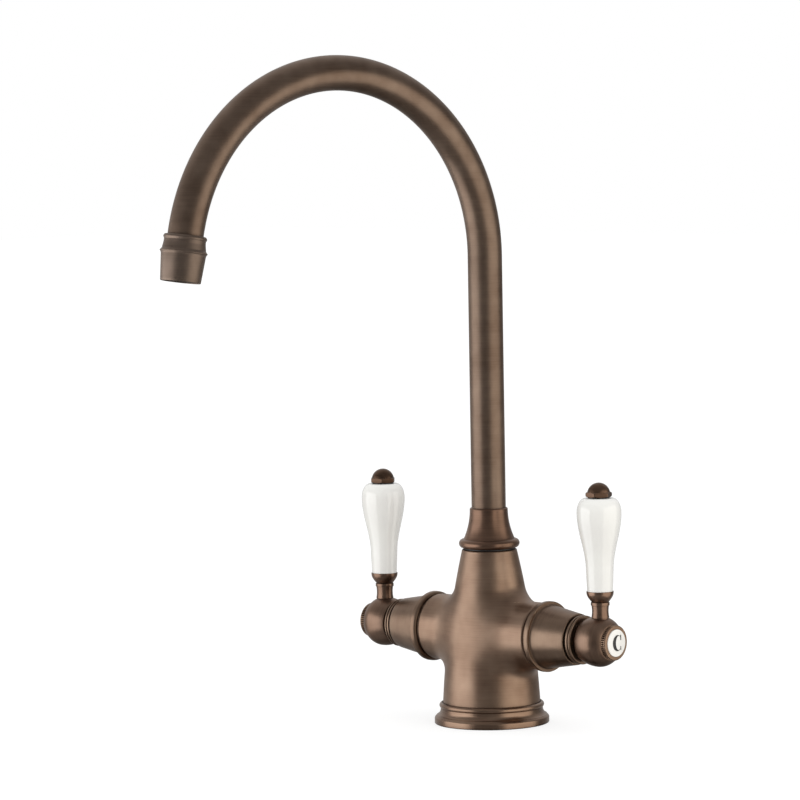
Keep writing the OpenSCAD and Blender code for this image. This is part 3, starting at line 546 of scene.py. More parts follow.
@dataclass(frozen=True)
class PolishedFloor(Finish):
    """Pale painted floor under a polish, white to the camera but for the mixer's soft shadow.

    Metal sees the lamps mirrored in the polish, and diffuse surfaces see the paint.
    """

    azimuth: float = 0.0
    paint: str = "#dcdad6"
    lit: str = "#a0a0a0"
    polish: str = "#f1f1f1"
    dim: str = "#7c7c7c"

    def shader(self, tree: NodeTree) -> Node:
        """Three looks: bright for camera rays, a mirror for glossy rays, and else plain paint."""
        ray = add(tree, "ShaderNodeLightPath").outputs
        a = math.radians(self.azimuth)
        facing = (0.5 * math.sin(a), -0.5 * math.cos(a), math.sqrt(0.75))
        coming = add(tree, "ShaderNodeNewGeometry").outputs["Incoming"]
        front = add(tree, "ShaderNodeVectorMath", (coming, facing), operation="DOT_PRODUCT")
        # Only a glossy ray meets this: it darkens where it would mirror the room behind the mixer
        mirror = add(tree, "ShaderNodeBsdfPrincipled", {
            "Base Color": tinted(tree, front.outputs["Value"], (0.7, 0.93), self.polish, self.dim),
            "Metallic": 1.0, "Roughness": 0.05})
        paint = add(tree, "ShaderNodeBsdfDiffuse", (linear(self.paint),))
        matt = add(tree, "ShaderNodeBsdfDiffuse", (linear(self.lit),))
        glow = add(tree, "ShaderNodeEmission", (WHITE, 0.7))
        bright = add(tree, "ShaderNodeAddShader", (matt, glow))
        unseen = add(tree, "ShaderNodeMixShader", (ray["Is Glossy Ray"], paint, mirror))
        return add(tree, "ShaderNodeMixShader", (ray["Is Camera Ray"], unseen, bright))


BRONZE = BrushedBronze("satin_bronze_brushed_round", roughness=0.4)
BRONZE_TUBE = BrushedBronze("satin_bronze_tube", "#857264", "#6d5a4d", "#a99280", 0.42)
BRONZE_NOZZLE = BrushedBronze("satin_bronze_nozzle", "#86756a", "#6d5e54", "#a99684", 0.44)
BRONZE_TRIM = BrushedBronze("satin_bronze_trim", "#8c7262", "#70584a", "#b39681", 0.32)
BRONZE_BASE = BrushedBronze("satin_bronze_base", "#937a68", "#785f50", "#bfa38c", 0.3)
BRONZE_COLLAR = BrushedBronze("satin_bronze_collar", "#846858", "#6b5446", "#ab8b76", 0.34)
BRONZE_VALVE = BrushedBronze("satin_bronze_shroud", "#8d7766", "#745e4f", "#b19883", 0.36, Grain.VALVE)
BRONZE_HUB = BrushedBronze("satin_bronze_hub", "#876f60", "#6d5648", "#b3967f", 0.36, Grain.VALVE)
BRONZE_BEZEL = BrushedBronze("satin_bronze_bezel", "#947967", "#7b6251", "#d0b398", 0.34, Grain.VALVE)
BRONZE_DARK = BrushedBronze("dark_bronze_finial", "#6a5345", "#4d3b30", "#9a7c66", 0.34, slot="dark_bronze")
PORCELAIN = GlazedPorcelain("glazed_porcelain", slot="porcelain")
INDEX_ENAMEL = GlazedPorcelain("white_enamel_index", "#f8f6f1", "#f5f3ee", slot="porcelain")
LETTER_ENAMEL = Enamel("dark_letter_enamel", slot="porcelain")
BRASS_VALVE = TurnedBrass("turned_brass_valve", slot="brass")
BRASS_UPRIGHT = TurnedBrass("turned_brass_upright", Grain.UPRIGHT, slot="brass")
RUBBER = Moulded("moulded_rubber", slot="rubber")
ACETAL_DARK = Moulded("moulded_acetal_dark", "#3b3734", "#2e2b29", 0.45, slot="dark_plastic")
ALUMINA = Moulded("lapped_alumina", "#e6e2d8", "#dcd8cd", 0.25, slot="ceramic")


# The mixer


@dataclass
class Assembly:
    """What every sub-assembly has in common: the side it is on, if any, and how it puts a piece."""

    side: Side | None = None

    @property
    def prefix(self) -> str:
        """Start of the names of its nodes and pieces."""
        return f"{self.side.name.lower()}_" if self.side else ""

    @property
    def body(self) -> str:
        """CAD body that its pieces ride on."""
        return "mixer_body"

    def put(self, part: str, patches: Sequence[Patch | Flat], finish: Finish, *nodes: str,
            crease: float = 45.0) -> Object:
        """Puts a finished piece in the scene, riding on the body and standing for CAD nodes.

        Args:
            part: Name of the piece without its side.
            patches: Its surfaces, in the row frame.
            finish: Its material.
            nodes: CAD nodes that it replaces, without their side.
            crease: Edges sharper than this many degrees stay sharp.

        Returns:
            The new object.
        """
        name = self.prefix + part
        mesh = mesh_of(f"{name}_surface", patches, crease)
        mesh.materials.append(finish.material())
        piece = into_scene(bpy.data.objects.new(name, mesh))
        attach(piece, self.body)
        if nodes:
            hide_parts(*(self.prefix + node for node in nodes))
        LOG.info("%s: %d faces on %s, for %s", name, len(mesh.polygons), self.body,
                 ", ".join(nodes) or "no node")
        return piece


@dataclass
class BaseRing(Assembly):
    """Foot ring under the body: flange, cove and bead, with a groove for the seal."""

    radius: float = 33.5
    edge: float = 4.4
    edge_round: float = 1.6
    bead_radius: float = 30.6
    bead: float = 3.4
    height: float = 12.2
    step: float = 0.4
    bore: float = 25.0
    recess: float = 29.1
    recess_floor: float = 11.4
    groove: tuple[float, float, float] = (27.1, 30.3, 1.8)

    def outline(self) -> np.ndarray:
        """Section of the ring, once round: underside with its groove, edge, cove, bead, recess.

        Returns:
            Array of shape (points, 2): radius and height.
        """
        inner, outer, depth = self.groove
        hollow = self.height - self.bead - self.edge - self.step
        bead_at = self.bead_radius - self.bead / 2
        foot = rounded([(self.bore, 0, 0), (inner, 0, 0), (inner, depth, 0), (outer, depth, 0),
                        (outer, 0, 0), (self.radius, 0, 0.5), (self.radius, 1.0, 0)], 8)
        edge = arc(self.radius - self.edge_round, self.edge - self.edge_round, self.edge_round, 0, 60)
        cove = arc(bead_at + 1.0 + hollow, self.edge + hollow, hollow, 248, 182)
        bead = arc(bead_at, self.height - self.bead / 2, self.bead / 2, -60, 88)
        top = rounded([(self.recess + 0.1, self.height, 0), (self.recess, self.height - 0.1, 0),
                       (self.recess, self.recess_floor, 0), (self.bore, self.recess_floor, 0),
                       (self.bore, 0, 0)])
        return np.concatenate([foot, edge, cove, bead, top])

    def build(self) -> None:
        """Makes the ring."""
        self.put("base_ring_turned", [turned(self.outline(), 192)], BRONZE_BASE, "base_ring", crease=40.0)


@dataclass
class Body(Assembly):
    """Cross-shaped casting: a bowed trunk and two arms, joined by round fillets.

    Each tapped hole in its foot is given by X, Y, radius and depth: two inlets and the stud's.
    """

    foot_radius: float = 28.5
    head_radius: float = 15.9
    bow: float = 2.0
    foot: float = 11.4
    top: float = 101.9
    top_round: float = 1.2
    arm_radius: float = 19.3
    arm_edge: float = 1.6
    fillet: float = 10.0
    socket: tuple[float, float] = (12.05, 12.0)
    spigot: float = 24.95
    holes: tuple[tuple[float, float, float, float], ...] = (
        (10.5, -3.0, 4.6, 12.0), (-10.5, -3.0, 4.6, 12.0), (0.0, 13.0, 3.4, 14.0))

    def trunk_radius(self, z: np.ndarray | float) -> np.ndarray | float:
        """Radius of the trunk: a straight taper plus a parabola of height bow."""
        t = (z - self.foot) / (self.top - self.foot)
        return self.foot_radius * (1 - t) + self.head_radius * t + 4 * self.bow * t * (1 - t)

    def outside(self, p: np.ndarray) -> np.ndarray:
        """How far points lie outside the casting.

        The trunk's distance is the distance from the Z axis less its radius. The arms' is that
        of a capped cylinder with a small edge radius. The two are joined by a fillet: where both
        are under the fillet radius, the surface lies at that radius from a common centre.

        Args:
            p: Points, with X, Y and Z last.

        Returns:
            Distances in millimetres, negative inside.
        """
        trunk = np.hypot(p[..., 0], p[..., 1]) - self.trunk_radius(p[..., 2])
        side = np.hypot(p[..., 1], p[..., 2] - VALVE_HEIGHT) - self.arm_radius + self.arm_edge
        end = np.abs(p[..., 0]) - ARM_END + self.arm_edge
        arm = (np.hypot(np.maximum(side, 0), np.maximum(end, 0))
               + np.minimum(np.maximum(side, end), 0) - self.arm_edge)
        k = self.fillet
        return (np.maximum(k, np.minimum(trunk, arm))
                - np.hypot(np.maximum(k - trunk, 0), np.maximum(k - arm, 0)))

    def levels(self) -> np.ndarray:
        """Heights of the grid's rows, close together where the arms' skin lies flat.

        They follow a sine over the arms, a cosine over the fillets and even steps beyond.

        Returns:
            Array of shape (rows,), from the foot to the head.
        """
        below, on_fillet, on_arms, above = 18, 22, 85, 36
        reach = self.arm_radius + self.fillet + 0.4
        swell = self.arm_radius + self.fillet * (1 - np.cos(np.radians(np.linspace(4, 90, on_fillet))))
        arm = self.arm_radius * np.sin(np.radians(np.linspace(-90, 90, on_arms)))
        head = self.top - self.top_round
        return VALVE_HEIGHT + np.concatenate([
            np.linspace(self.foot - VALVE_HEIGHT, -reach, below), -swell[::-1], arm, swell,
            np.linspace(reach, head - VALVE_HEIGHT, above)])

    def angles(self, z: np.ndarray) -> np.ndarray:
        """Angles of the grid's columns at each height, close together at the arms' edges.

        A quarter turn is split at the arm's edge, with steps by a power on each side of it, and
        is then mirrored and repeated.

        Args:
            z: Heights, of shape (rows,).

        Returns:
            Array of shape (rows, columns), in radians.
        """
        on_face, on_flank, least = 16, 64, 3.0
        half = np.sqrt(np.maximum(self.arm_radius ** 2 - (z - VALVE_HEIGHT) ** 2, 0))
        corner = np.maximum(np.degrees(np.arctan(half / ARM_END)), least)[:, None]
        face = 1 - (1 - np.linspace(0, 1, on_face, endpoint=False)) ** 1.8
        flank = np.linspace(0, 1, on_flank, endpoint=False) ** 1.6
        quarter = np.concatenate([corner * face, corner + (90 - corner) * flank], axis=1)
        mirrored = np.concatenate([np.full_like(corner, 90.0), 180 - quarter[:, :0:-1]], axis=1)
        half_turn = np.concatenate([quarter, mirrored], axis=1)
        return np.radians(np.concatenate([half_turn, half_turn + 180], axis=1))

    def skin(self) -> Patch:
        """The casting's outside: level rays from the Z axis, each followed to the surface by halving.

        Returns:
            The outside with the edge of the spigot below and of the spout's socket above.
        """
        nearest, furthest, halvings = 5.0, 60.0, 34
        z = self.levels()
        angle = self.angles(z)
        low, high = np.full(angle.shape, nearest), np.full(angle.shape, furthest)
        for _ in range(halvings):
            middle = (low + high) / 2
            inside = self.outside(rings(middle, angle, z[:, None])) < 0
            low, high = np.where(inside, middle, low), np.where(inside, high, middle)
        edge = self.trunk_radius(self.top - self.top_round) - self.top_round
        rise = 1.0
        crown = arc(0.0, self.top - rise, rise, 0, 90, 7)
        crown[:, 0] = edge + self.top_round * crown[:, 0]
        bore, depth = self.socket
        upper = np.concatenate([crown, [[bore, self.top], [bore, self.top - depth]]])
        return Patch(np.concatenate([
            rings(self.spigot, angle[0], np.array([[0.0], [self.foot]])),
            rings(low, angle, z[:, None]),
            rings(upper[:, :1], angle[-1], upper[:, 1:])]))

    def underside(self) -> list[Patch | Flat]:
        """The foot's underside: a flat round three drilled holes, each with a 118 degree point.

        Returns:
            The holes' walls, and the flat, cut into triangles by a constrained Delaunay division.
        """
        edges, walls = [rings(self.spigot, self.angles(self.levels()[:1])[0], 0.0)], []
        for x, y, radius, depth in self.holes:
            point = radius * 0.6
            drill = np.array([[0.0, depth + point], [radius, depth], [radius, 0.0]])
            walls.append(turned(drill, 64).moved(shifted(x, y, 0.0)))
            edges.append(walls[-1].points[-1])
        starts = np.cumsum([0] + [len(edge) for edge in edges])
        sides = [np.stack([np.arange(len(edge)), np.roll(np.arange(len(edge)), -1)], axis=1) + start
                 for edge, start in zip(edges, starts)]
        found = delaunay_2d_cdt(np.concatenate(edges)[:, :2].tolist(), np.concatenate(sides).tolist(),
                                [], 2, 1e-6)
        points, triangles = np.array([(*v, 0.0) for v in found[0]]), np.array(found[2])
        for x, y, radius, _ in self.holes:
            centre = points[triangles].mean(axis=1)
            triangles = triangles[np.hypot(centre[:, 0] - x, centre[:, 1] - y) > radius]
        a, b, c = (points[triangles[:, i], :2] for i in range(3))
        turn = (b[:, 0] - a[:, 0]) * (c[:, 1] - a[:, 1]) - (b[:, 1] - a[:, 1]) * (c[:, 0] - a[:, 0])
        triangles[turn > 0] = triangles[turn > 0][:, ::-1]
        return [*walls, Flat(points, triangles)]

    def build(self) -> None:
        """Makes the casting in one piece."""
        self.put("body_casting", [self.skin(), *self.underside()], BRONZE, "body", crease=50.0)


@dataclass
class Shroud(Assembly):
    """Turned cover over one cartridge: flange, cone, groove and end ring."""

    inside: float = 14.5
    flange: tuple[float, float, float] = (20.5, 41.2, 45.2)
    spigot: float = 18.6
    cone: tuple[float, float, float] = (18.3, 14.75, 66.6)
    groove: tuple[float, float] = (12.9, 68.0)
    ring: tuple[float, float] = (14.1, 71.4)
    recess: tuple[float, float] = (11.05, 68.7)
    bore: float = 7.55

    def outline(self) -> np.ndarray:
        """Section of the shroud's outside, and of the recess in its end.

        Returns:
            Array of shape (points, 2): radius and height.
        """
        f, f0, f1 = self.flange
        root, tip, cone_end = self.cone
        floor, ring_at = self.groove
        r, end = self.ring
        v, middle = r - 0.75, (ring_at + end) / 2
        nut, nut_at = self.recess
        return rounded([
            (self.inside, ARM_END, 0), (self.spigot, ARM_END, 0), (self.spigot, f0, 0),
            (f, f0, 1.8), (f, f1, 0.45), (root + 0.5, f1, 0.3), (root, f1 + 0.7, 0.5),
            (tip, cone_end, 0.5), (floor, cone_end + 0.1, 0.15), (floor, ring_at - 0.1, 0.15),
            (r, ring_at, 0.4), (r, middle - 0.55, 0.3), (v, middle - 0.2, 0.2),
            (v, middle + 0.1, 0.2), (r, middle + 0.45, 0.3), (r, end, 0.9), (nut, end, 0.2),
            (nut, nut_at, 0.1), (self.bore, nut_at, 0), (self.bore, nut_at - 2, 0)], 7)

    def build(self) -> None:
        """Makes the shroud of one side."""
        cover = turned(finely(self.outline(), 2.5), 160).moved(valve_frame(self.side))
        self.put("shroud_turned", [cover], BRONZE_VALVE, "shroud", crease=50.0)


@dataclass
class Lever(Assembly):
    """Everything that turns with one valve's spindle: hub, index disc, stem, porcelain and finial."""

    finial_turn: float = 0.0
    at: float = 83.0
    hub_radius: float = 14.5
    hub_rear: float = 73.6
    hub_back: float = 18.0
    hub_front: float = 11.62
    hub_face: float = 91.3
    spindle_hole: tuple[float, float] = (4.05, 4.0)
    bezel_socket: tuple[float, float] = (8.3, 4.1)
    bezel_spigot: tuple[float, float] = (8.25, 3.0)
    bezel_bore: float = 6.0
    bezel: tuple[float, float] = (10.1, 94.4)
    knurl: tuple[int, float] = (54, 0.7)
    disc: tuple[float, float, float, float] = (7.85, 92.4, 0.45, 0.15)
    stem_foot: float = 66.97
    tenon: tuple[float, float] = (3.5, 6.0)
    foot_radius: float = 4.9
    waist: tuple[float, float, float] = (4.62, 0.5, 0.42)
    ring_at: float = 74.37
    ring_radius: float = 5.38
    cup_at: float = 76.37
    cup: tuple[float, float] = (7.8, 7.42)
    cup_rim: float = 82.57
    cup_floor: float = 80.97
    rod_hole: float = 2.05
    handle_at: float = 81.47
    handle_length: float = 54.5
    handle_bore: float = 2.6
    grip: tuple[float, float, float] = (7.3, 7.9, 13.0)
    bulb: tuple[float, float] = (12.8, 46.2)
    crown: float = 7.9
    finial_at: float = 136.47
    finial: tuple[float, float, float, float] = (6.75, 3.0, 6.5, 5.3)
    letter_height: float = 9.2

    @property
    def body(self) -> str:
        """CAD body that this lever is."""
        return f"{self.prefix}lever"

    def upright(self) -> np.ndarray:
        """Frame on the lever's own vertical axis."""
        return shifted(self.side.value * self.at, 0, 0)

    def build_hub(self) -> None:
        """Makes the hub: two half ellipses that meet at the lever, a flat rear and a socket in front.

        Its radius is the largest one times the root of 1 less the square of the way to each end.
        """
        x = np.concatenate([np.linspace(self.hub_rear + 0.3, self.at, 26, endpoint=False),
                            np.linspace(self.at, self.hub_face, 28)])
        half = np.where(x < self.at, self.hub_back, self.hub_front)
        r = self.hub_radius * np.sqrt(1 - ((x - self.at) / half) ** 2)
        (hole, deep), (socket, sunk) = self.spindle_hole, self.bezel_socket
        outline = np.concatenate([
            [[hole, self.hub_rear + deep], [hole, self.hub_rear], [r[0] - 0.35, self.hub_rear],
             [r[0] - 0.1, self.hub_rear + 0.1]],
            np.stack([r, x], axis=1),
            [[socket, self.hub_face], [socket, self.hub_face - sunk], [0.0, self.hub_face - sunk]]])
        self.put("hub_ball", [turned(outline, 160).moved(valve_frame(self.side))], BRONZE_HUB, "hub")

    def bezel_patch(self) -> Patch:
        """The bezel, with a knurled band of two rows of teeth.

        A groove is deepest where the absolute sine of its angle is nought, and the two rows part
        where the absolute sine of the height across the band is.

        Returns:
            The surface, with Z along the valve axis.
        """
        r, front = self.bezel
        disc_r, disc_at = self.disc[:2]
        spigot, length = self.bezel_spigot
        teeth, depth = self.knurl
        outline = finely(rounded([
            (self.bezel_bore, self.hub_face - length, 0), (spigot, self.hub_face - length, 0),
            (spigot, self.hub_face, 0), (r, self.hub_face, 0.3), (r, front, 0.7),
            (disc_r + 0.05, front, 0.15), (disc_r + 0.05, disc_at, 0),
            (self.bezel_bore, disc_at, 0)], 6), 0.14)
        patch = turned(outline, teeth * 10)
        angle = np.linspace(0, TAU, teeth * 10, endpoint=False)
        h, low, high = outline[:, 1:], self.hub_face + 0.1, front - 0.75
        band = np.clip((h - low) / 0.2, 0, 1) * np.clip((high - h) / 0.2, 0, 1)
        band = band * (outline[:, :1] > r - 0.2)
        rows = np.abs(np.sin((h - low) / (high - low) * TAU))
        wave = np.minimum(np.abs(np.sin(teeth * angle / 2)), 0.4 + rows)
        sink = 1 - band * depth * (1 - np.clip(wave * 1.6 - 0.3, 0, 1)) / r
        patch.points[..., :2] *= sink[..., None]
        return patch

    def disc_height(self, radius: np.ndarray) -> np.ndarray:
        """Height of the index disc's shallow dome, which is the cap of a ball.

        Args:
            radius: Distance from the valve axis.

        Returns:
            Place along the valve axis, in millimetres.
        """
        rim, _, step, rise = self.disc
        ball = ball_radius(rim, rise)
        return self.bezel[1] + step + rise - ball + np.sqrt(ball ** 2 - radius ** 2)

    def glyph(self) -> list[np.ndarray]:
        """Strokes of the letter as flat grids of shape (rows, columns, 2), in units of its height.

        C is the band between two ellipses, the inner one narrower and set to the right, so that
        it is thick on its left and thin at its top and foot, with a bar at each end. H is two
        stems, a thin bar and four feet.

        Returns:
            The strokes, each across and up from the letter's middle.
        """
        def bar(x0: float, y0: float, x1: float, y1: float) -> np.ndarray:
            """A straight stroke between two corners."""
            return np.stack(np.meshgrid(np.linspace(x0, x1, 3), np.linspace(y0, y1, 9)), axis=-1)

        if self.side is Side.HOT:
            stems = [bar(s - 0.075, -0.5, s + 0.075, 0.5) for s in (-0.25, 0.25)]
            feet = [bar(s - 0.16, y, s + 0.16, y + 0.05) for s in (-0.25, 0.25) for y in (-0.5, 0.45)]
            return stems + feet + [bar(-0.19, -0.03, 0.19, 0.03)]
        t = np.radians(np.linspace(42, 318, 72))
        outer = np.stack([0.05 + 0.45 * np.cos(t), 0.5 * np.sin(t)], axis=1)
        inner = np.stack([0.165 + 0.29 * np.cos(t), 0.44 * np.sin(t)], axis=1)
        band = np.stack([inner, (inner + outer) / 2, outer], axis=1)
        return [band, bar(0.33, 0.16, 0.40, 0.49), bar(0.34, -0.46, 0.39, -0.22)]

    def build_index(self) -> None:
        """Makes the bezel, the white disc and its letter."""
        frame = valve_frame(self.side)
        self.put("bezel_knurled", [self.bezel_patch().moved(frame)], BRONZE_BEZEL, "bezel")
        rim, at, step, _ = self.disc
        edge = 0.25
        r = np.linspace(rim - edge, 0.0, 24)
        outline = np.concatenate([
            [[0.0, at], [rim, at]], arc(rim - edge, self.bezel[1] + step - edge, edge, 0, 75, 6),
            np.stack([r, self.disc_height(r)], axis=1)])
        self.put("index_disc_domed", [turned(outline, 96).moved(frame)], INDEX_ENAMEL, "index_disc")
        strokes = []
        for stroke in self.glyph():
            flat = stroke * self.letter_height
            height = self.disc_height(np.hypot(flat[..., 0], flat[..., 1])) + 0.03
            grid = np.concatenate([flat, height[..., None]], axis=-1)
            strokes.append(Patch(grid, closed=False).moved(frame))
        letter = self.put(f"index_letter_{self.side.name[0]}", strokes, LETTER_ENAMEL)
        raised = letter.modifiers.new("raised", "SOLIDIFY")
        raised.thickness, raised.offset = 0.1 * MM, 1.0

    def build_stem(self) -> None:
        """Makes the stem: a foot that flares, a waist, a ring and a cup for the porcelain.

        The neck's radius is the waist's plus the cube of the way to each end, and the cup widens
        by a quarter of a sine wave.
        """
        foot, ring, cup_at, rim = self.stem_foot, self.ring_radius, self.cup_at, self.cup_rim
        (cup_r, cup_inner), (tenon, deep), foot_r = self.cup, self.tenon, self.foot_radius
        waist, wider_below, wider_above = self.waist
        t = np.linspace(0, 1, 18)
        neck = np.stack([waist + wider_below * (1 - t) ** 3 + wider_above * t ** 3,
                         foot + 0.55 + (self.ring_at - foot - 0.55) * t], axis=1)
        t = np.linspace(0, 1, 20)
        bowl = np.stack([foot_r + (cup_r - foot_r) * np.sin(t * math.pi / 2),
                         cup_at + (rim - 0.7 - cup_at) * t], axis=1)
        outline = np.concatenate([
            [[tenon, foot - deep], [tenon, foot - 0.5], [foot_r, foot - 0.5],
             [foot_r + 0.05, foot + 0.45]], neck,
            rounded([(5.1, self.ring_at, 0), (ring, self.ring_at, 0.25), (ring, cup_at - 0.15, 0.25),
                     (foot_r, cup_at - 0.1, 0)], 5),
            bowl,
            rounded([(cup_r, rim - 0.6, 0), (cup_r, rim, 0.15), (cup_inner, rim, 0.1),
                     (cup_inner, self.cup_floor, 0.2), (self.rod_hole, self.cup_floor, 0),
                     (self.rod_hole, foot + 2, 0)], 4)])
        self.put("lever_stem_turned", [turned(outline).moved(self.upright())], BRONZE_TRIM,
                 "lever_stem", crease=55.0)

    def build_handle(self) -> None:
        """Makes the porcelain: a slightly tapered grip that swells by half a cosine wave to a bulb."""
        foot_r, grip_r, grip_len = self.grip
        bulb_r, bulb_at = self.bulb
        h = np.linspace(0.35, bulb_at, 64)
        u = np.clip((h - grip_len) / (bulb_at - grip_len), 0, 1)
        taper = (grip_r - foot_r) * (1 - np.clip(h / grip_len, 0, 1))
        swell = grip_r - taper + (bulb_r - grip_r) / 2 * (1 - np.cos(math.pi * u))
        a = np.radians(np.linspace(0, 90, 26))[1:]
        shoulder = np.stack([self.crown + (bulb_r - self.crown) * np.cos(a),
                             bulb_at + (self.handle_length - bulb_at) * np.sin(a)], axis=1)
        outline = np.concatenate([
            [[self.handle_bore, 0.0], [foot_r - 0.25, 0.0], [foot_r - 0.05, 0.1]],
            np.stack([swell, h], axis=1), shoulder,
            [[self.handle_bore, self.handle_length], [self.handle_bore, 0.0]]])
        frame = shifted(0, 0, self.handle_at)
        self.put("handle_porcelain", [turned(outline, 160).moved(self.upright() @ frame)], PORCELAIN,
                 "handle", crease=60.0)

    def build_finial(self) -> None:
        """Makes the cap nut: a hexagon with softened, chamfered corners under a round dome.

        The hexagon's radius at an angle is its apothem over the cosine of the angle from the
        nearest flat, held under a cone above and below, which cuts the corners back.
        """
        apothem, tall, dome_r, dome_h = self.finial
        z, columns = self.finial_at, 240
        angle = np.linspace(0, TAU, columns, endpoint=False)
        off = (angle + math.pi / 6) % (math.pi / 3) - math.pi / 6
        corner, cut = apothem * 1.135, apothem * 0.985
        hexagon = np.minimum(apothem / np.cos(off), corner)
        h = np.concatenate([np.linspace(0, 0.9, 8), np.linspace(1.0, tall - 0.8, 6),
                            np.linspace(tall - 0.7, tall, 8)])[:, None]
        cone = cut + 1.6 * np.minimum(h, tall - h)
        wall = rings(np.minimum(hexagon, cone), angle, z + h)
        ball = ball_radius(dome_r, dome_h)
        start = math.degrees(math.asin(1 - dome_h / ball))
        dome = arc(0.0, z + tall + dome_h - ball, ball, start, 90, 30)[1:-1]
        top = np.concatenate([[[dome_r + 0.02, z + tall]], dome, [[0.0, z + tall + dome_h]]])
        foot = rings(self.rod_hole, angle, z)[None]
        nut = Patch(np.concatenate([foot, wall, turned(top, columns).points]))
        spun = nut.moved(turned_about("Z", self.finial_turn)).moved(self.upright())
        self.put("finial_capped", [spun], BRONZE_DARK, "finial", crease=28.0)

    def build(self) -> None:
        """Makes the lever's pieces, from the hub up."""
        self.build_hub()
        self.build_index()
        self.build_stem()
        self.build_handle()
        self.build_finial()


@dataclass
class Spout(Assembly):
    """Everything that swings: collar, swan neck, nozzle and aerator."""

    swing: float = 9.6
    tube_radius: float = 10.0
    wall: float = 1.25
    bend_radius: float = 107.3
    bend_height: float = 272.7
    bend_angle: float = 169.5
    seat: float = 5.0
    tube_foot: float = 95.25
    collar_at: float = 102.65
    collar_height: float = 23.4
    collar_bore: float = 12.1
    collar_bead: tuple[float, float] = (17.7, 5.2)
    collar_flare: tuple[float, float, float] = (14.9, 11.1, 42.0)
    nozzle_length: float = 25.8
    nozzle_bore: tuple[float, float] = (8.5, 5.3)
    mouth: tuple[float, float] = (10.2, 14.7)
    grille_rings: tuple[float, ...] = (1.4, 3.2, 5.0, 6.8)
    grille_radius: float = 8.0
    rib: float = 0.35
    spokes: int = 8

    @property
    def body(self) -> str:
        """CAD body that the spout is."""
        return "spout"

    def swung(self) -> np.ndarray:
        """Frame of the spout's plane: its Y axis points away from the nozzle."""
        return turned_about("Z", -self.swing)

    def nozzle_frame(self) -> np.ndarray:
        """Frame at the nozzle's upper end.

        Returns:
            Array of shape (4, 4), with Z along the flow.
        """
        turn = self.bend_angle + math.degrees(self.seat / self.bend_radius) / 2
        a = math.radians(turn)
        place = shifted(0.0, self.bend_radius * (math.cos(a) - 1),
                        self.bend_height + self.bend_radius * math.sin(a))
        return self.swung() @ place @ turned_about("X", turn) @ shifted(0.0, 0.0, -self.seat / 2)

    def neck(self, radius: float) -> np.ndarray:
        """A circle carried up the riser and round the bend, always square to the path.

        Args:
            radius: Radius of the circle.

        Returns:
            Array of shape (circles, points, 3), in the spout's own plane.
        """
        riser, bend = 12, 150
        turn = math.radians(self.bend_angle) + self.seat / self.bend_radius
        a = np.concatenate([np.zeros(riser), np.linspace(0, turn, bend)])[:, None]
        rise = np.concatenate([np.linspace(self.tube_foot, self.bend_height, riser, endpoint=False),
                               np.full(bend, self.bend_height)])[:, None]
        spin = np.linspace(0, TAU, 72, endpoint=False)
        reach = self.bend_radius + radius * np.sin(spin)
        out, up = reach * np.cos(a) - self.bend_radius, rise + reach * np.sin(a)
        return np.stack(np.broadcast_arrays(radius * np.cos(spin), out, up), axis=-1)

    def build_tube(self) -> None:
        """Makes the tube, with its wall open at both ends."""
        outer, inner = self.neck(self.tube_radius), self.neck(self.tube_radius - self.wall)
        whole = Patch(np.concatenate([outer, inner[::-1], outer[:1]]))
        self.put("spout_tube_bent", [whole.moved(self.swung())], BRONZE_TUBE, "spout_tube", crease=60.0)

    def collar_outline(self) -> np.ndarray:
        """Section of the collar: half-round bead, hollow flare and a rounded shoulder at the tube.

        The flare is an arc through its two ends, with its centre out on the middle of their chord.

        Returns:
            Array of shape (points, 2): radius and height.
        """
        bead_r, bead_h = self.collar_bead
        low, high, hollow = self.collar_flare
        z, top = self.collar_at, self.collar_at + self.collar_height
        bead = arc(bead_r - bead_h / 2, z + bead_h / 2, bead_h / 2, -90, 84, 26)
        start, end = np.array([low, z + bead_h]), np.array([high, top - 1.2])
        chord = end - start
        length = np.linalg.norm(chord)
        side = np.array([chord[1], -chord[0]]) / length
        centre = (start + end) / 2 + side * math.sqrt(hollow ** 2 - (length / 2) ** 2)
        flare = start + chord * np.linspace(0, 1, 24)[:, None] - centre
        flare = centre + flare * hollow / np.linalg.norm(flare, axis=1, keepdims=True)
        shoulder = rounded([(high, top - 1.15, 0), (high, top, 0.95), (self.tube_radius + 0.05, top, 0),
                            (self.tube_radius + 0.02, top - 1.0, 0)], 8)
        return np.concatenate([[[self.collar_bore, z + 1.6], [self.collar_bore, z]], bead,
                               [[low + 0.05, z + bead_h - 0.05]], flare, shoulder])

    def build_collar(self) -> None:
        """Makes the bell-shaped collar."""
        bell = turned(self.collar_outline(), 160).moved(self.swung())
        self.put("spout_collar_turned", [bell], BRONZE_COLLAR, "spout_collar")

    def build_nozzle(self) -> None:
        """Makes the nozzle: rolled upper bead, waist, sharper lower bead, taper and mouth.

        Its axis points down the flow, so its section runs from the tube to the mouth.
        """
        length, (mouth, floor), (bore, seat) = self.nozzle_length, self.mouth, self.nozzle_bore
        socket = self.tube_radius + 0.05
        outline = rounded([
            (socket, seat, 0), (socket, 0.0, 0.1), (11.5, 0.0, 0.5), (12.3, 1.3, 0.9), (11.6, 2.6, 0.4),
            (11.7, 4.4, 3.0), (12.25, 7.8, 0.8), (12.7, 8.4, 0.3), (13.4, 9.2, 0.45),
            (12.75, 10.0, 0.3), (12.5, 10.7, 0.8), (11.3, length - 0.35, 0.0), (11.15, length, 0.25),
            (mouth + 0.2, length, 0.25), (mouth, length - 0.3, 0.1), (mouth, floor, 0),
            (bore, floor, 0), (bore, seat, 0), (socket, seat, 0)], 6)
        nozzle = turned(finely(outline, 1.2), 144).moved(self.nozzle_frame())
        self.put("nozzle_turned", [nozzle], BRONZE_NOZZLE, "nozzle")

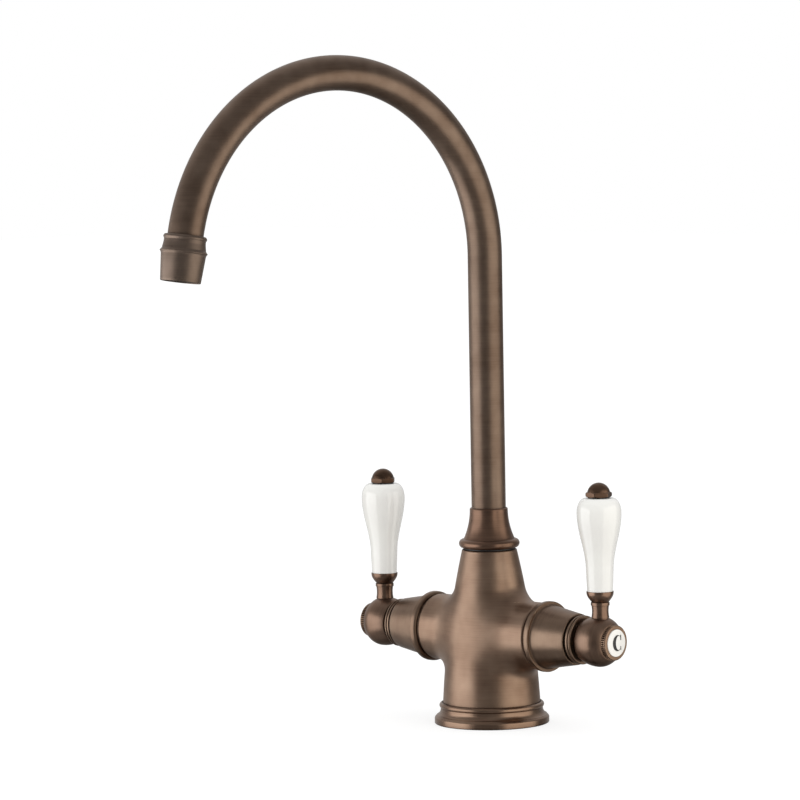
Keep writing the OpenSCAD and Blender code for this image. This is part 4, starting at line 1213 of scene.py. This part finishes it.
    def build_aerator(self) -> None:
        """Makes the aerator's grille: round ribs, spokes, a plate and a skirt in the mouth."""
        frame, face = self.nozzle_frame(), self.nozzle_length - 1.8
        edge, rib, foot = self.grille_radius, self.rib, face - 1.6
        turnings = [(rounded([(r - rib, foot, 0), (r + rib, foot, 0), (r + rib, face, 0.15),
                              (r - rib, face, 0.15), (r - rib, foot, 0)], 3), 64)
                    for r in self.grille_rings]
        turnings.append((np.array([
            [0.0, face - 2.0], [edge + 0.6, face - 2.0], [edge + 0.6, face - 0.4],
            [edge, face - 0.2], [edge, face - 1.5], [0.0, face - 1.5]]), 64))
        turnings.append((np.array([
            [edge, foot], [10.1, foot], [10.17, self.nozzle_length - 0.35],
            [10.0, self.nozzle_length - 0.4], [9.9, face - 1.2], [edge, face - 1.2], [edge, foot]]), 96))
        patches = [turned(outline, columns).moved(frame) for outline, columns in turnings]
        across, up = np.array([-rib, rib, rib, -rib]), face - 0.05 + np.array([-1.6, -1.6, 0.0, 0.0])
        reach = np.array([[self.grille_rings[0]], [edge + 0.2]])
        spoke = Patch(np.stack(np.broadcast_arrays(reach, across, up), axis=-1))
        patches += [spoke.moved(frame @ turned_about("Z", 360.0 / self.spokes * k))
                    for k in range(self.spokes)]
        self.put("aerator_grille", patches, ACETAL_DARK, "aerator_insert", crease=40.0)

    def build(self) -> None:
        """Makes the spout's pieces, from the collar to the aerator."""
        self.build_collar()
        self.build_tube()
        self.build_nozzle()
        self.build_aerator()


@dataclass
class CarriedOver:
    """CAD nodes whose shape is right as it is: seals, washers, cartridges, discs and screws."""

    nodes: Mapping[str, Object]
    finishes: Mapping[str, Finish] = field(default_factory=lambda: {
        "base_seal": RUBBER, "swivel_washer": ACETAL_DARK, "seat_seal": RUBBER, "fixed_disc": ALUMINA,
        "moving_disc": ALUMINA, "cartridge": BRASS_VALVE, "shroud_nut": BRONZE_VALVE,
        "spindle": BRASS_VALVE, "spindle_o_ring": RUBBER, "hub_screw": BRASS_VALVE,
        "tie_rod": BRASS_UPRIGHT, "soft_washers": RUBBER, "spout_spigot": BRASS_UPRIGHT,
        "spout_o_rings": RUBBER, "spout_clip": BRASS_UPRIGHT, "aerator_washer": RUBBER,
        "aerator_housing": BRASS_UPRIGHT})

    def dress(self) -> None:
        """Gives each such node its finish."""
        for name, node in self.nodes.items():
            finish = self.finishes.get(name.removeprefix("cold_").removeprefix("hot_"))
            if finish:
                node.data.materials.clear()
                node.data.materials.append(finish.material())
                LOG.info("%s: carried over, %s", name, finish.name)


# The studio


@dataclass(frozen=True)
class Viewpoint:
    """The photograph's camera, found by fitting the mixer's outline to the picture.

    Attributes:
        azimuth: Degrees round from the user's side towards the cold valve.
        elevation: Degrees above the horizon.
        roll: Degrees that the picture is turned.
        focal: Focal length in pixels of the picture.
        frame: Width and height of the picture in pixels.
        distance: Distance from the origin along the view, in millimetres.
        offset: How far the origin lies from the picture's middle, right and up, in millimetres.
    """

    azimuth: float = 42.04
    elevation: float = 4.30
    roll: float = 0.98
    focal: float = 4300.0
    frame: float = 800.0
    distance: float = 2515.59
    offset: tuple[float, float] = (53.86, -188.24)

    def axes(self) -> tuple[Vector, Vector, Vector]:
        """The camera's directions.

        Returns:
            Right, up and backward, each of length 1.
        """
        a, e, r = (math.radians(v) for v in (self.azimuth, self.elevation, self.roll))
        back = Vector((math.sin(a) * math.cos(e), -math.cos(a) * math.cos(e), math.sin(e)))
        level = Vector((math.cos(a), math.sin(a), 0.0))
        up = back.cross(level)
        return (math.cos(r) * level - math.sin(r) * up, math.sin(r) * level + math.cos(r) * up, back)

    def build(self) -> None:
        """Makes the camera."""
        right, up, back = self.axes()
        place = (back * self.distance - right * self.offset[0] - up * self.offset[1]) * MM
        data = bpy.data.cameras.new("photo_camera")
        data.lens = self.focal / self.frame * data.sensor_width
        data.clip_start, data.clip_end = 0.1, 50.0
        camera = into_scene(bpy.data.objects.new("photo_camera", data))
        turn = Matrix((right, up, back)).transposed().to_4x4()
        camera.matrix_world = Matrix.Translation(place) @ turn
        bpy.context.scene.camera = camera


@dataclass(frozen=True)
class Softbox:
    """A large soft lamp that stands upright and faces the mixer.

    Only a share of its light falls on matt surfaces, which mostly see the white studio around
    them. Metal and glaze mirror the whole of it. Its sizes are in metres.
    """

    name: str
    bearing: float
    width: float
    height: float
    power: float
    colour: tuple[float, float, float] = (1.0, 1.0, 1.0)
    distance: float = 0.6
    matt_share: float = 0.25

    def build(self, azimuth: float) -> None:
        """Makes the lamp, once for all surfaces and once more for those that mirror it.

        Args:
            azimuth: The camera's azimuth, from which the bearing is counted to the right.
        """
        a = math.radians(azimuth + self.bearing)
        out = Vector((math.sin(a), -math.cos(a), 0.0))
        for part, share, back in (("whole", self.matt_share, 0.0), ("mirrored", 1 - self.matt_share, 0.01)):
            data = bpy.data.lights.new(f"{self.name}_{part}", "AREA")
            data.shape, data.size, data.size_y = "RECTANGLE", self.width, self.height
            data.energy, data.color = share * self.power, self.colour
            lamp = into_scene(bpy.data.objects.new(data.name, data))
            lamp.location = out * (self.distance + back) + Vector((0, 0, self.height / 2))
            lamp.rotation_euler = out.to_track_quat("Z", "Y").to_euler()
            lamp.visible_diffuse = part == "whole"


@dataclass(frozen=True)
class Studio:
    """Plain pale studio: two upright softboxes, a white backdrop and a pale floor."""

    azimuth: float
    lamps: tuple[Softbox, ...] = (
        Softbox("softbox_left", -77.0, 0.74, 0.33, 1.36),
        Softbox("softbox_right", 59.0, 0.87, 0.43, 1.42, (1.06, 1.0, 0.9)),
    )
    backdrop: float = 0.5
    backdrop_bearing: float = -165.0
    backdrop_rise: float = 30.0
    room: float = 0.1
    ceiling: float = 0.25
    fill: float = 1.08
    floor_size: float = 6000.0

    def build_world(self) -> None:
        """White where the camera looks past the mixer, with an even fill for diffuse surfaces.

        Metal and glaze show that backdrop too, at the level that reaches them. It falls off
        towards the ceiling and towards the unlit room behind the photographer.
        """
        world = bpy.data.worlds.new("studio")
        bpy.context.scene.world = world
        tree = bare_tree(world)
        a, rise = math.radians(self.azimuth + self.backdrop_bearing), math.radians(self.backdrop_rise)
        middle = (math.cos(rise) * math.sin(a), -math.cos(rise) * math.cos(a), math.sin(rise))
        look = add(tree, "ShaderNodeTexCoord").outputs["Generated"]
        height = add(tree, "ShaderNodeSeparateXYZ", (look,)).outputs["Z"]
        behind = add(tree, "ShaderNodeVectorMath", (look, middle), operation="DOT_PRODUCT")
        wall = add(tree, "ShaderNodeMapRange", (behind.outputs["Value"], 0.3, 1.0, 0.0, self.backdrop))
        room = add(tree, "ShaderNodeMapRange", (height, 0.0, 0.6, self.room, self.ceiling))
        level = add(tree, "ShaderNodeMath", (wall, room), operation="ADD")
        reflected, even, plain = (add(tree, "ShaderNodeBackground", (WHITE, strength))
                                  for strength in (level, self.fill, 1.0))
        ray = add(tree, "ShaderNodeLightPath").outputs
        unseen = add(tree, "ShaderNodeMixShader", (ray["Is Glossy Ray"], even, reflected))
        seen = add(tree, "ShaderNodeMath", (ray["Is Camera Ray"], ray["Is Transmission Ray"]),
                   operation="MAXIMUM")
        whole = add(tree, "ShaderNodeMixShader", (seen, unseen, plain))
        add(tree, "ShaderNodeOutputWorld", {"Surface": whole})

    def build_floor(self) -> None:
        """Makes the floor, just under the mixer's foot."""
        side = np.linspace(-self.floor_size, self.floor_size, 9)
        points = np.stack(np.meshgrid(side, side, -0.05), axis=-1)[:, :, 0]
        mesh = mesh_of("studio_floor", [Patch(points, closed=False)])
        mesh.materials.append(PolishedFloor("pale_studio_floor", azimuth=self.azimuth).material())
        into_scene(bpy.data.objects.new("studio_floor", mesh))

    def build(self) -> None:
        """Makes the lamps, the backdrop and the floor."""
        for lamp in self.lamps:
            lamp.build(self.azimuth)
        self.build_world()
        self.build_floor()
        bpy.context.scene.view_settings.view_transform = "Standard"


def main() -> None:
    """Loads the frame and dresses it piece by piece."""
    logging.basicConfig(level=logging.INFO, format="%(name)s: %(message)s")
    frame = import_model()
    viewpoint = Viewpoint()
    viewpoint.build()
    Studio(viewpoint.azimuth).build()
    BaseRing().build()
    Body().build()
    for side in Side:
        Shroud(side).build()
        Lever(side, finial_turn=20.2 if side is Side.COLD else 38.5).build()
    Spout().build()
    CarriedOver(frame["nodes"]).dress()


if __name__ == "__main__":
    main()
